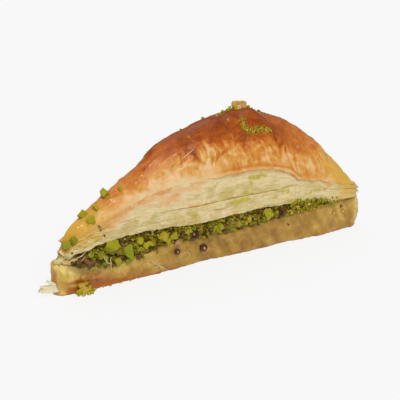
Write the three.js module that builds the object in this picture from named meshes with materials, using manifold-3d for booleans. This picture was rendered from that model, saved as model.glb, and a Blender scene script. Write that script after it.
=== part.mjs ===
// A carrot-slice baklava: one long wedge from a round tray, standing on its baked underside.
// A soaked slab of pastry leaves carries a bed of chopped pistachio, and a puffed stack of thinner leaves
// under a glazed, domed crust lies on top. Millimetres, +X from the tip to the rim, +Z up.
import * as THREE from "three";
import { mergeVertices } from "three/addons/utils/BufferGeometryUtils.js";
import Module from "manifold-3d";

const wasm = await Module();
wasm.setup();

// Driving dimensions of the wedge, seen from above.
const sliceLength = 125; // tip to rim, which is also the radius of the rim's arc
const halfAngle = THREE.MathUtils.degToRad(9); // each long cut leaves the centre line at this angle
const noseLength = 8.6; // the tip is rounded over this length
const noseHalfWidth = 4.3; // half the width where the rounding ends
const rimCorner = 3.4; // rounding of the two corners at the rim
const spineStart = 10.5; // the dome's ridge runs from here ...
const spineEnd = 91.6; // ... to here, on the centre line

// Heights above the table. Each station is [share of the length from the tip, height].
const slabStations = [
  [0, 12.4], [0.04, 11.4], [0.1, 9.8], [0.18, 8.9], [0.25, 9.5], [0.32, 10.4], [0.45, 10.2], [0.6, 10.4],
  [0.68, 11.2], [0.8, 11.8], [1, 12.6],
];
const slabReach = 3.4; // at the rim the slab stands out this far ...
const crownReach = 0.8; // ... and the upper pastry this far
const bedStations = [ // thickness of the pistachio bed, which pinches out towards both ends
  [0, 0], [0.013, 1.2], [0.04, 3.6], [0.1, 6.4], [0.18, 7.9], [0.25, 7.5], [0.32, 6.2], [0.45, 5.7], [0.6, 6.1],
  [0.68, 5.3], [0.8, 3.8], [0.86, 2.7], [0.91, 1.7], [0.97, 0.5], [1, 0],
];
const bedCore = [5, 115]; // the bed's core reaches from here to here, in millimetres from the tip
const leafGap = 0.3; // clearance between the layers
const ridgeStations = [
  [0.06, 23], [0.155, 29.8], [0.25, 35.6], [0.345, 43.5], [0.465, 48], [0.62, 50.5], [0.7, 49.9], [0.78, 40.3],
];
const nearCrustStations = [
  [0, 15.5], [0.065, 21], [0.16, 25.8], [0.26, 29.8], [0.36, 32.2], [0.5, 32.8], [0.635, 32.4], [0.7, 30.1],
  [0.77, 26.6], [0.84, 22.2], [0.92, 19], [1, 17],
];
const farCrustStations = [
  [0, 15.5], [0.065, 19.5], [0.16, 23.5], [0.32, 25.5], [0.48, 28], [0.62, 30.5], [0.745, 28.5], [0.88, 22],
  [1, 15.6],
];
const rimCrustBulge = 2.5; // the crust's edge stands higher in the middle of the rim
const crownStart = 1.6; // the upper pastry starts behind the slab's tip ...
const crownSlant = 1.6; // ... and its tip leans back by this much up to the crust
const slantEnd = 14;
const domeRoundness = 0.8; // 0.5 would be an ellipse, and 1 a parabola
const rimFlattening = 0.5; // added to it towards the rim, where the crown slopes more evenly

// Relief of the layers, in millimetres out from or into the cut face.
const leafBulge = 0.35; // a leaf's edge stands this far out
const leafGroove = 0.3; // the groove between two leaves is this deep
const leafFace = [0.12, 0.9]; // shares of a leaf's thickness between which its edge is upright
const edgeRounding = 0.8; // a layer's top and bottom draw in by this much
const slabPhase = 0.4; // where each layer's waviness starts
const crownPhase = 2.1;
const bandTop = 22.8; // height of the groove between the upper pastry's two bands of leaves ...
const bandShares = [0.3, 0.6]; // ... which keeps between these shares of its side
const bandStep = 0.8; // depth of the groove between the two bands
const bandSeam = 0.03; // thickness of that groove, as a share of the side
const bandsEnd = 0.94; // the leaves end and the crust begins at this share
const lowerBandOut = 0.25; // the lower band stands out ...
const upperBandOut = -0.15; // ... and the upper one is drawn in
const crustLip = 0.9; // the crust overhangs the leaves
const lipAtTip = 0.2; // share of that overhang near the tip, where crust and leaves have baked together
const lipGrows = [40, 62]; // between these distances it grows to its full depth
const wrinkleDepth = 0.5; // upright folds in the side of the crust
const blisterHeight = 0.5; // low swellings on the crown
const unevenness = 0.45; // slow waviness of the long cuts

// How finely each layer is meshed, as samples round its outline.
const pastrySamples = 104;
const bedSamples = 56;

// Chopped nuts.
const nutSizes = [2.9, 4.6]; // smallest and largest piece across
const nutSpacing = 3.7; // distance between neighbours round the bed
const nutRow = 3.4; // distance between rows of nuts, one above the other
const bedInset = 1.7; // the bed's core lies this far inside the cut
const nutSeed = 20;
const nutOut = [-0.2, 1.3]; // how far past the cut face a piece may stand
const squarishShare = 0.7; // share of the pieces that are box-like
const cornerReach = [0.78, 1.12]; // a piece's corners are moved in or out by these factors
const nutSquash = [[0.85, 1.15], [0.75, 1], [0.7, 1]]; // range of its scale in each direction
const tallestNut = 1.3; // its size, at most, as a share of the bed's thickness

const smooth = (from, to, at) => THREE.MathUtils.smoothstep(at, from, to);

// A smooth height along the slice through its stations, level beyond the first and the last.
function profile(stations) {
  const places = stations.map(([share]) => share * sliceLength);
  const heights = stations.map(([, height]) => height);
  const last = places.length - 1;
  const slope = (i) => {
    const before = Math.max(i - 1, 0);
    const after = Math.min(i + 1, last);
    return (heights[after] - heights[before]) / (places[after] - places[before]);
  };
  return (s) => {
    const at = THREE.MathUtils.clamp(s, places[0], places[last]);
    const i = Math.min(Math.max(places.findIndex((place) => place > at) - 1, 0), last - 1);
    const from = at >= places[last] ? last - 1 : i;
    const span = places[from + 1] - places[from];
    const t = (at - places[from]) / span;
    const ease = t * t * (3 - 2 * t);
    const leaving = t * (1 - t) * (1 - t) * span * slope(from);
    const arriving = t * t * (t - 1) * span * slope(from + 1);
    return heights[from] * (1 - ease) + heights[from + 1] * ease + leaving + arriving;
  };
}

const slabTop = profile(slabStations);
const bedHeight = profile(bedStations);
const ridgeHeight = profile(ridgeStations);
const nearCrust = profile(nearCrustStations);
const farCrust = profile(farCrustStations);

// Underside of the upper pastry, which rests on the bed and, past the bed's ends, on the slab.
const underside = (s) => slabTop(s) + leafGap + bedHeight(s);

const halfWidth = (s) => noseHalfWidth + Math.tan(halfAngle) * (s - noseLength);

// Height of the crust's lower edge at a point of the outline.
function crustEdge({ x, y }) {
  const across = THREE.MathUtils.clamp(y / halfWidth(x), -1, 1);
  const side = smooth(-1, 1, across);
  const rimShare = smooth(0.93, 1, x / sliceLength) * (1 - across ** 2);
  return nearCrust(x) * (1 - side) + farCrust(x) * side + rimCrustBulge * rimShare;
}

// The slice's outline from above, evenly sampled, anticlockwise from the tip along the near cut.
// A cut-back start and end and an inset give the outline of the bed inside it.
function outline(samples, start = 0, end = sliceLength, inset = 0) {
  const width = (s) => halfWidth(s) - inset;
  const noseEnd = start + noseLength;
  const cornerX = end * Math.cos(halfAngle);
  const corner = new THREE.Vector2(cornerX, -width(cornerX));
  const beforeCorner = cornerX - rimCorner;
  const rimAngle = Math.atan2(corner.y, corner.x);
  const arcStart = rimAngle + rimCorner / end;
  const path = new THREE.Path();
  path.moveTo(start, 0);
  path.quadraticCurveTo(start, -width(start) * 0.9, noseEnd, -width(noseEnd));
  path.lineTo(beforeCorner, -width(beforeCorner));
  path.quadraticCurveTo(corner.x, corner.y, end * Math.cos(arcStart), end * Math.sin(arcStart));
  path.absarc(0, 0, end, arcStart, 0, false);
  const near = path.getSpacedPoints(samples / 2);
  const far = near.slice(1, -1).reverse().map((p) => new THREE.Vector2(p.x, -p.y));
  const points = [...near, ...far];
  return points.map((p, i) => {
    const before = points.at(i - 1);
    const after = points[(i + 1) % points.length];
    const normal = new THREE.Vector2(after.y - before.y, before.x - after.x).normalize();
    const spine = THREE.MathUtils.clamp(p.x, spineStart, spineEnd);
    const centre = THREE.MathUtils.clamp(p.x, start + 1, cornerX - 1);
    return { x: p.x, y: p.y, normal, spine, centre, turn: i / points.length };
  });
}

// Slow waviness of a layer's edge; each layer passes its own phase.
function waviness(point, phase) {
  const along = point.x / sliceLength;
  const side = point.y < 0 ? 0 : 1.7;
  return unevenness * (Math.sin(9 * along + phase + side) + 0.6 * Math.sin(23 * along + 2 * phase + side));
}

const ring = (points, out, height) =>
  points.map((p, i) => {
    const offset = out(p, i);
    const x = p.x + p.normal.x * offset;
    return new THREE.Vector3(x, p.y + p.normal.y * offset, height({ ...p, x }, i));
  });

// The centre line under each point, where a level face closes: its height depends on the distance alone.
const centreLine = (points, height) => points.map((p) => new THREE.Vector3(p.centre, 0, height(p.centre)));

// Joins rings, each one above or inside the last, into a closed skin. The first and last are spine lines,
// where the near and far halves share their points.
function loft(rings) {
  const count = rings[0].length;
  const position = new Float32Array(rings.flatMap((r) => r.flatMap((v) => [v.x, v.y, v.z])));
  const index = [];
  for (let k = 0; k + 1 < rings.length; k++) {
    for (let i = 0; i < count; i++) {
      const next = (i + 1) % count;
      const [a, b] = [k * count + i, k * count + next];
      const [c, d] = [a + count, b + count];
      index.push(a, b, d, a, d, c);
    }
  }
  const geometry = new THREE.BufferGeometry();
  geometry.setAttribute("position", new THREE.BufferAttribute(position, 3));
  geometry.setIndex(index);
  return geometry;
}

function toSolid(geometry) {
  const bare = geometry.clone();
  bare.deleteAttribute("normal");
  bare.deleteAttribute("uv");
  const merged = mergeVertices(bare, 1e-4);
  const corners = [...merged.index.array];
  const triVerts = [];
  for (let i = 0; i < corners.length; i += 3) {
    const [a, b, c] = corners.slice(i, i + 3);
    if (a !== b && b !== c && a !== c) triVerts.push(a, b, c);
  }
  return new wasm.Manifold(
    new wasm.Mesh({
      numProp: 3,
      vertProperties: merged.attributes.position.array,
      triVerts: new Uint32Array(triVerts),
    }),
  );
}

function toMesh(solid, name, material) {
  const largest = solid.decompose().reduce((a, b) => (b.volume() > a.volume() ? b : a));
  const { vertProperties, triVerts } = largest.getMesh();
  const geometry = new THREE.BufferGeometry();
  geometry.setAttribute("position", new THREE.BufferAttribute(vertProperties, 3));
  geometry.setIndex(new THREE.BufferAttribute(triVerts, 1));
  geometry.computeVertexNormals();
  const mesh = new THREE.Mesh(geometry, material);
  mesh.name = name;
  return mesh;
}

// Seeded random numbers, the same on every run.
function randomFrom(seed) {
  let state = seed;
  return (low = 0, high = 1) => {
    state = (state + 0x6d2b79f5) | 0;
    let t = Math.imul(state ^ (state >>> 15), 1 | state);
    t = (t + Math.imul(t ^ (t >>> 7), 61 | t)) ^ t;
    return low + (((t ^ (t >>> 14)) >>> 0) / 4294967296) * (high - low);
  };
}

// One chopped nut: an angular lump of 20 faces, or of 12 where the knife left it squarish.
function nut(random, size, place) {
  const squarish = random() < squarishShare;
  const side = size / Math.sqrt(2);
  const lump = squarish
    ? new THREE.BoxGeometry(side, side, side)
    : new THREE.IcosahedronGeometry(size / 2, 0);
  const moved = new Map();
  const position = lump.getAttribute("position");
  for (let i = 0; i < position.count; i++) {
    const corner = new THREE.Vector3().fromBufferAttribute(position, i);
    const key = corner.toArray().map((v) => v.toFixed(3)).join();
    if (!moved.has(key)) moved.set(key, corner.clone().multiplyScalar(random(...cornerReach)));
    position.setXYZ(i, ...moved.get(key));
  }
  lump.scale(...nutSquash.map((range) => random(...range)));
  const turn = new THREE.Euler(random(0, Math.PI), random(0, Math.PI), random(0, Math.PI));
  const pose = new THREE.Matrix4().makeRotationFromEuler(turn).setPosition(place);
  return toSolid(lump.applyMatrix4(pose));
}

// A torn flake of crust: a thin bent plate, thick enough to stay one solid.
function flake(length, width, thickness, place, turn, bend = 0.3) {
  const plate = new THREE.BoxGeometry(length, width, thickness, 4, 2, 1);
  const position = plate.getAttribute("position");
  for (let i = 0; i < position.count; i++) {
    const along = position.getX(i) / (length / 2);
    const taper = 1 - 0.35 * Math.abs(along + 0.2);
    position.setY(i, position.getY(i) * taper);
    position.setZ(i, position.getZ(i) + bend * along ** 2 * length * 0.5);
  }
  const pose = new THREE.Matrix4().makeRotationFromEuler(new THREE.Euler(...turn)).setPosition(...place);
  return toSolid(plate.applyMatrix4(pose));
}

const union = (solids) => wasm.Manifold.union(solids);

// Where the near cut face lies at a distance from the tip.
const nearFace = (s) => -halfWidth(s);

function slabSolid() {
  const points = outline(pastrySamples, 0, sliceLength + slabReach);
  const leaves = 3;
  const side = (p) => waviness(p, slabPhase);
  const level = (share) => (p) => slabTop(p.x) * share;
  const rings = [centreLine(points, () => 0), ring(points, (p) => side(p) - edgeRounding, () => 0)];
  for (let leaf = 0; leaf < leaves; leaf++) {
    const [low, high] = leafFace.map((share) => (leaf + share) / leaves);
    const out = (p) => side(p) + leafBulge * Math.sin(1.3 * leaf + 11 * p.turn * (1 + leaf));
    if (leaf) rings.push(ring(points, (p) => out(p) - leafGroove, level(leaf / leaves)));
    rings.push(ring(points, out, level(low)));
    rings.push(ring(points, out, level(high)));
  }
  rings.push(ring(points, (p) => side(p) - edgeRounding, level(1)));
  rings.push(centreLine(points, slabTop));
  return toSolid(loft(rings));
}

// Crumbs of nut and a stray leaf that stick to the slab's cut face.
function slabCrumbs() {
  const random = randomFrom(7);
  const stuck = [
    // [distance from the tip, height, size, how far its centre stands out]
    [45, 7.1, 2.2, 0.3], [55.6, 6.4, 3, 0.3], [48.5, 6.4, 1.6, 0.2],
    [8.4, 1.7, 3.4, 1.1], [10.8, 2.4, 3, 0.9], [6.4, 1.6, 2.6, 0.9], [9.4, 4.2, 2.6, 0.6], [12.6, 1.5, 2, 0.7],
    [7.6, 1.2, 3.2, 2.6], [10.2, 1.1, 2.8, 2.2],
  ];
  const crumbs = stuck.map(([s, height, size, out]) =>
    nut(random, size, new THREE.Vector3(s, nearFace(s) - out, height)),
  );
  crumbs.push(flake(8, 3.4, 0.8, [-2.6, -1, 3.9], [1.1, 0.1, 0.1], 0.1));
  const table = toSolid(new THREE.BoxGeometry(400, 400, 100).translate(0, 0, -50));
  return union(crumbs).subtract(table);
}

function bedSolid() {
  const random = randomFrom(nutSeed);
  const points = outline(bedSamples, ...bedCore, bedInset);
  const low = (s) => slabTop(s) + leafGap;
  const high = (s) => underside(s) - leafGap;
  // The core is made too tall, and the room between the two pastries then trims it and the nuts.
  const spare = 1;
  const below = (s) => low(s) - spare;
  const above = (s) => high(s) + spare;
  const core = toSolid(
    loft([
      centreLine(points, below),
      ring(points, () => 0, (p) => below(p.x)),
      ring(points, () => 0, (p) => above(p.x)),
      centreLine(points, above),
    ]),
  );
  const wide = outline(pastrySamples);
  const beyondCut = () => nutSizes[1];
  const room = toSolid(
    loft([
      centreLine(wide, low),
      ring(wide, beyondCut, (p) => low(p.x)),
      ring(wide, beyondCut, (p) => high(p.x)),
      centreLine(wide, high),
    ]),
  );
  const nuts = [];
  const girth = points.reduce((sum, p, i) => {
    const next = points[(i + 1) % points.length];
    return sum + Math.hypot(next.x - p.x, next.y - p.y);
  }, 0);
  const places = Math.round(girth / nutSpacing);
  for (let place = 0; place < places; place++) {
    const p = points[Math.floor((place / places) * points.length)];
    const tall = high(p.x) - low(p.x);
    const rows = Math.max(1, Math.round(tall / nutRow));
    for (let row = 0; row < rows; row++) {
      const size = Math.min(random(...nutSizes), tall * tallestNut);
      const out = bedInset - size / 2 + random(...nutOut);
      const sideways = random(-0.5, 0.5) * nutSpacing;
      const height = low(p.x) + ((row + 0.5 + random(-0.25, 0.25)) / rows) * tall;
      const at = new THREE.Vector3(
        p.x + p.normal.x * out - p.normal.y * sideways,
        p.y + p.normal.y * out + p.normal.x * sideways,
        height,
      );
      nuts.push(nut(random, size, at));
    }
  }
  return union([core, ...nuts]).intersect(room);
}

// Upright folds in the side of the crust, deepest where it has puffed up most.
function folds(p) {
  const along = p.x / sliceLength;
  const puffed = smooth(0.25, 0.42, along) * (1 - 0.6 * smooth(0.85, 1, along));
  const wave = Math.sin(2 * Math.PI * 41 * p.turn) + 0.7 * Math.sin(2 * Math.PI * 27 * p.turn + 1.1);
  return wrinkleDepth * (0.3 + 0.7 * puffed) * wave;
}

function blisters(x, y) {
  const swell = Math.sin(0.34 * x + 0.9) * Math.cos(0.41 * y + 0.05 * x) + 0.6 * Math.sin(0.75 * x - 0.5 * y);
  return blisterHeight * swell;
}

function crownSolid() {
  const points = outline(pastrySamples, crownStart, sliceLength + crownReach);
  const edge = points.map(crustEdge);
  const side = (p) => waviness(p, crownPhase);
  const lean = (p) => crownSlant * (1 - smooth(crownStart, slantEnd, p.x));
  const split = (p) => {
    const low = underside(p.x);
    return THREE.MathUtils.clamp((bandTop - low) / (crustEdge(p) - low), ...bandShares);
  };
  // One ring of the cut face: `share` runs from 0 at the underside to 1 at the crust's edge.
  const face = (out, share) =>
    ring(
      points,
      (p) => side(p) + out(p) - lean(p) * share(p),
      (p, i) => underside(p.x) + share(p) * (edge[i] - underside(p.x)),
    );
  const rings = [centreLine(points, underside), face(() => -edgeRounding, () => 0)];
  const bands = [
    { from: () => bandSeam, to: split, leaves: 2, out: lowerBandOut, then: -bandStep },
    { from: (p) => split(p) + bandSeam, to: () => bandsEnd, leaves: 2, out: upperBandOut, then: upperBandOut },
  ];
  for (const band of bands) {
    const at = (leaf) => (p) => band.from(p) + (leaf / band.leaves) * (band.to(p) - band.from(p));
    for (let leaf = 0; leaf < band.leaves; leaf++) {
      const out = (p) => band.out + leafBulge * Math.sin(2.1 * leaf + 9 * p.turn * (2 + leaf));
      if (leaf) rings.push(face((p) => out(p) - leafGroove, at(leaf)));
      for (const share of leafFace) rings.push(face(out, at(leaf + share)));
    }
    rings.push(face(() => band.then, (p) => band.to(p) + bandSeam / 3));
  }
  const lipShare = (p) => {
    const baked = 1 - smooth(...lipGrows, p.x);
    return p.y < 0 ? 1 - baked * (1 - lipAtTip) : 1;
  };
  rings.push(face((p) => crustLip * lipShare(p), () => 1 - bandSeam));
  const lip = (p) => side(p) + crustLip * lipShare(p) - lean(p);
  for (const inward of [0, 0.06, 0.16, 0.3, 0.48, 0.73]) {
    const r = 1 - inward;
    rings.push(
      points.map((p, i) => {
        const settle = 1 - smooth(0, 0.4, inward);
        const out = lip(p) * r + folds(p) * settle;
        const x = p.spine * inward + p.x * r + p.normal.x * out;
        const y = p.y * r + p.normal.y * out;
        const roundness = domeRoundness + rimFlattening * smooth(0.9, 1, p.x / sliceLength);
        const rise = (1 - r * r) ** roundness;
        const swell = blisters(x, y) * smooth(0, 0.25, inward);
        return new THREE.Vector3(x, y, edge[i] + (ridgeHeight(p.spine) - edge[i]) * rise + swell);
      }),
    );
  }
  rings.push(points.map((p) => new THREE.Vector3(p.spine, 0, ridgeHeight(p.spine) + blisters(p.spine, 0))));
  return toSolid(loft(rings));
}

// Height of the crown's surface over a point, found with a thin probe through the solid.
function crownHeight(crown, x, y) {
  const probe = toSolid(new THREE.BoxGeometry(0.2, 0.2, 200).translate(x, y, 0));
  return crown.intersect(probe).boundingBox().max[2];
}

// Ground and chopped pistachio scattered on the crust, and the flakes that stand up from it.
function crownCrumbs(crown) {
  const random = randomFrom(31);
  const scattered = [
    // [x, y, size]
    [22, 0.6, 3], [17.4, -1.2, 2.3], [13.2, 0.4, 2.8], [12.6, -5, 2.6], [4.6, -2.6, 3], [6.4, -3.8, 2.8],
    [27.1, -1.7, 2], [33, 9, 2.2], [77.2, 3, 2.6], [74.4, 1, 2.2],
    [83.8, -1.2, 2.2], [78.4, -6, 2], [77.8, -7.9, 2], [78, -9.6, 2.1], [80.4, -10.5, 2],
    [83.8, -10.6, 2], [86.4, -10.9, 1.9], [98, 7, 2.1], [58, 8, 2], [69, 5, 2],
  ];
  const crumbs = scattered.map(([x, y, size]) =>
    nut(random, size, new THREE.Vector3(x, y, crownHeight(crown, x, y) + size * 0.12)),
  );
  const peak = crownHeight(crown, 82, 1);
  crumbs.push(flake(6, 4.6, 0.9, [82.5, 1, peak + 0.6], [1.4, 0, -0.67], 0.05));
  crumbs.push(flake(7, 3.6, 0.8, [122.2, -20, 18], [0.5, 0.75, -0.2], 0.1));
  crumbs.push(flake(6, 3.2, 0.8, [124, 6, 17.2], [0.2, 0.5, 0.4], 0.1));
  return union(crumbs);
}

const slabFinish = new THREE.MeshStandardMaterial({ color: 0xb08a3c, roughness: 0.38, metalness: 0 });
const bedFinish = new THREE.MeshStandardMaterial({ color: 0x7d8a22, roughness: 0.6, metalness: 0 });
const crownFinish = new THREE.MeshStandardMaterial({ color: 0xc9772f, roughness: 0.32, metalness: 0 });

const crown = crownSolid();
const slice = new THREE.Group();
slice.add(toMesh(slabSolid().add(slabCrumbs()), "base_pastry", slabFinish));
slice.add(toMesh(bedSolid(), "pistachio_filling", bedFinish));
slice.add(toMesh(crown.add(crownCrumbs(crown)), "upper_pastry", crownFinish));

// The part's origin is under the middle of its outline, on the table.
const extent = new THREE.Box3().setFromObject(slice);
const middle = extent.getCenter(new THREE.Vector3());
slice.position.set(-middle.x, -middle.y, -extent.min.z);

export default slice;
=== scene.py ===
import math

import bmesh
import bpy
import numpy as np
from mathutils import Euler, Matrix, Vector


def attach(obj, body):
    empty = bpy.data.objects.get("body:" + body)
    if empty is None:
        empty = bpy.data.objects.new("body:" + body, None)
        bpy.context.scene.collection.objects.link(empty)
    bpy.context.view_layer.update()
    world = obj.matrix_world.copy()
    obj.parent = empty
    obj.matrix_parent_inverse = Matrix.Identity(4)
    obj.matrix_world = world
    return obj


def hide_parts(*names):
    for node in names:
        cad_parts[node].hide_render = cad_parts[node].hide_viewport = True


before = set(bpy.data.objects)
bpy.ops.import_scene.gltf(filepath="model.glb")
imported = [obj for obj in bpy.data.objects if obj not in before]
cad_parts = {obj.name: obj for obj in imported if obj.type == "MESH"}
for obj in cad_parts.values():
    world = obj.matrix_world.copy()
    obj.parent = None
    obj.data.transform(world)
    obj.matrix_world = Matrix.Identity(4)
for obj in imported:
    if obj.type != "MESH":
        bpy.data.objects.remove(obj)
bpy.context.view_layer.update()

# All the shape work is in millimetres, with the tip of the slice at x = 0 and its long axis along +x.
wedge = {
    "length": 125.0,  # tip to rim, and the rim's radius
    "crownReach": 0.8,  # the upper pastry stands out this far at the rim
    "halfAngle": math.radians(9.0),
    "noseLength": 8.6,
    "noseHalfWidth": 4.3,
    "rimCorner": 3.4,
    "ridgeFrom": 10.5,
    "ridgeTo": 91.9,
    "ridgeEase": 1.3,  # the ridge's end is rounded over about this length
    "pathSteps": 200,  # points of each part of the outline, before it is sampled evenly
    "cornerSteps": 60,
    "shift": (-60.838, -0.113, 0.0),  # from the tip to the frame's own origin
}

heights = {  # [share of the length from the tip, height above the table], and thickness for the bed
    "slab": [
        (0, 12.4), (.04, 11.4), (.1, 9.8), (.18, 8.9), (.25, 9.5), (.32, 10.4), (.45, 10.2), (.6, 10.4),
        (.68, 11.2), (.8, 11.8), (1, 12.6)],
    "bed": [
        (0, 0), (.013, 1.2), (.04, 3.6), (.1, 6.4), (.18, 7.9), (.25, 7.5), (.32, 6.2), (.45, 5.7), (.6, 6.1),
        (.68, 5.3), (.8, 3.8), (.86, 2.7), (.91, 1.7), (.97, .5), (1, 0)],
    "ridge": [
        (.06, 23), (.155, 29.8), (.25, 35.6), (.345, 43.5), (.465, 48), (.62, 50.5), (.7, 49.9), (.78, 40.3)],
    "nearCrust": [
        (0, 15.5), (.065, 21), (.16, 25.8), (.26, 29.8), (.36, 32.2), (.5, 32.8), (.635, 32.4), (.7, 30.5),
        (.74, 28.9), (.768, 25.7), (.83, 23.6), (.9, 20.8), (.96, 19), (1, 17)],
    "farCrust": [
        (0, 15.5), (.065, 19.5), (.16, 23.5), (.32, 25.5), (.48, 28), (.62, 30.5), (.745, 28.5), (.88, 22),
        (1, 15.6)],
    "rimBulge": 2.5,  # the crust's edge stands higher in the middle of the rim
    "bedCore": (5.0, 115.0),  # the ground nut lies between these distances from the tip
    "bandTop": 22.8,  # the step between the two bands of leaves
    "bandShares": (0.3, 0.6),  # which stays between these shares of the side
    "gap": 0.3,  # between slab and bed
}


def smooth(low, high, at):
    t = np.clip((at - low) / (high - low), 0.0, 1.0)
    return t * t * (3.0 - 2.0 * t)


def within(x, a, b, c, d):  # rises from a to b and falls again from c to d
    return smooth(a, b, x) * smooth(d, c, x)


def stationCurve(stations):  # a smooth curve through [share of the length, level]
    places = np.array([share for share, _ in stations], float) * wedge["length"]
    levels = np.array([level for _, level in stations], float)
    before = np.maximum(np.arange(len(places)) - 1, 0)
    after = np.minimum(np.arange(len(places)) + 1, len(places) - 1)
    slopes = (levels[after] - levels[before]) / (places[after] - places[before])

    def at(s):
        s = np.clip(s, places[0], places[-1])
        i = np.clip(np.searchsorted(places, s, side="right") - 1, 0, len(places) - 2)
        span = places[i + 1] - places[i]
        t = (s - places[i]) / span
        ease = t * t * (3 - 2 * t)
        bend = t * (1 - t) ** 2 * span * slopes[i] + t * t * (t - 1) * span * slopes[i + 1]
        return levels[i] * (1 - ease) + levels[i + 1] * ease + bend

    return at


slabTop = stationCurve(heights["slab"])
bedHeight = stationCurve(heights["bed"])
ridgeHeight = stationCurve(heights["ridge"])
nearCrust = stationCurve(heights["nearCrust"])
farCrust = stationCurve(heights["farCrust"])


def underside(s):
    return slabTop(s) + heights["gap"] + bedHeight(s)


def halfWidth(s):
    return wedge["noseHalfWidth"] + math.tan(wedge["halfAngle"]) * (s - wedge["noseLength"])


def crustEdge(x, y):  # height of the crust's lower edge
    across = np.clip(y / halfWidth(x), -1, 1)
    side = smooth(-1.0, 1.0, across)
    rimShare = smooth(0.93, 1.0, x / wedge["length"]) * (1 - across**2)
    return nearCrust(x) * (1 - side) + farCrust(x) * side + heights["rimBulge"] * rimShare


def hashOf(cells, seed):
    h = cells[..., 0] * 73856093 ^ cells[..., 1] * 19349663 ^ cells[..., 2] * 83492791 ^ (seed * 40503 + 977)
    h = (h ^ (h >> 15)) * 2246822519 & 0xFFFFFFFF
    h = (h ^ (h >> 13)) * 3266489917 & 0xFFFFFFFF
    return h ^ (h >> 16)


def noise(points, size, seed=0):  # gradient noise, about -1 to 1, with lumps of this size in mm
    q = np.asarray(points, float) / np.asarray(size, float) + 31.7 * (seed + 1)
    cell = np.floor(q).astype(np.int64)
    f = q - cell
    ease = f**3 * (f * (f * 6 - 15) + 10)
    total = np.zeros(q.shape[:-1])
    for corner in np.ndindex(2, 2, 2):
        h = hashOf(cell + np.array(corner), seed)
        slope = np.stack([(h & 255), (h >> 8 & 255), (h >> 16 & 255)], -1) / 127.5 - 1
        weight = np.prod(np.where(np.array(corner) == 1, ease, 1 - ease), -1)
        total += weight * np.sum(slope * (f - np.array(corner)), -1)
    return np.clip(total * 1.5, -1, 1)


def layered(points, size, octaves, seed=0):  # noise with finer and fainter lumps added
    size = np.asarray(size, float)
    return sum(noise(points, size / 2**k, seed + k) * 0.5**k for k in range(octaves))


def ridged(points, size, seed=0):  # sharp crests, 0 to 1
    return 1 - np.abs(noise(points, size, seed))


def flatMap(*parts):  # coordinates for noise on an unrolled surface
    parts = np.broadcast_arrays(*parts)
    return np.stack(list(parts) + [np.zeros_like(parts[0])] * (3 - len(parts)), -1)


def quadratic(a, b, c, steps):
    t = np.linspace(0, 1, steps)[:, None]
    return (1 - t) ** 2 * np.array(a) + 2 * t * (1 - t) * np.array(b) + t * t * np.array(c)


class Plan:  # the outline from above, evenly sampled: from the tip along the near cut, back along the far one
    def __init__(self, samples, start=0.0, end=wedge["length"], inset=0.0):
        steps = wedge["pathSteps"]
        noseEnd = start + wedge["noseLength"]
        width = lambda s: halfWidth(s) - inset
        cornerX = end * math.cos(wedge["halfAngle"])
        corner = (cornerX, -width(cornerX))
        straightTo = cornerX - wedge["rimCorner"]
        arcFrom = math.atan2(corner[1], corner[0]) + wedge["rimCorner"] / end
        arc = np.linspace(arcFrom, 0, steps)
        nose = quadratic((start, 0), (start, -width(start) * 0.9), (noseEnd, -width(noseEnd)), steps)
        cut = np.linspace((noseEnd, -width(noseEnd)), (straightTo, -width(straightTo)), steps)
        turn = quadratic((straightTo, -width(straightTo)), corner,
                         (end * math.cos(arcFrom), end * math.sin(arcFrom)), wedge["cornerSteps"])
        rim = np.stack([end * np.cos(arc), end * np.sin(arc)], -1)
        path = np.concatenate([nose, cut[1:], turn[1:], rim[1:]])
        walked = np.concatenate([[0], np.cumsum(np.hypot(*np.diff(path, axis=0).T))])
        even = np.linspace(0, walked[-1], samples // 2 + 1)
        near = np.stack([np.interp(even, walked, column) for column in path.T], -1)
        far = near[1:-1][::-1] * (1, -1)
        self.xy = np.concatenate([near, far])
        ahead = np.roll(self.xy, -1, 0) - np.roll(self.xy, 1, 0)
        self.normal = np.stack([ahead[:, 1], -ahead[:, 0]], -1) / np.hypot(*ahead.T)[:, None]
        self.x, self.y = self.xy.T
        self.total = 2 * walked[-1]
        self.girth = self.total * np.arange(len(self.xy)) / len(self.xy)
        past = (self.x - wedge["ridgeTo"]) / wedge["ridgeEase"]
        self.spine = np.maximum(self.x - wedge["ridgeEase"] * np.logaddexp(0, past), wedge["ridgeFrom"])
        self.centre = np.clip(self.x, start + 1, cornerX - 1)

    def ring(self, out, z):  # the outline, moved outwards
        out = np.broadcast_to(out, self.x.shape)[:, None]
        return np.column_stack([self.xy + self.normal * out, np.broadcast_to(z, self.x.shape)])

    def centreLine(self, z):
        return np.column_stack([self.centre, np.zeros(len(self.centre)), np.broadcast_to(z, self.x.shape)])


def waviness(plan, phase):  # slow unevenness of the long cuts, as the knife left them
    along = plan.x / wedge["length"]
    side = np.where(plan.y < 0, 0, 1.7)
    return 0.45 * (np.sin(9 * along + phase + side) + 0.6 * np.sin(23 * along + 2 * phase + side))


def ringFaces(rings, count):
    k, i = np.meshgrid(np.arange(rings - 1), np.arange(count), indexing="ij")
    nextI = (i + 1) % count
    quads = np.stack([k * count + i, k * count + nextI, (k + 1) * count + nextI, (k + 1) * count + i], -1)
    return quads.reshape(-1, 4)


weldWithin = 2e-6  # metres


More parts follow.
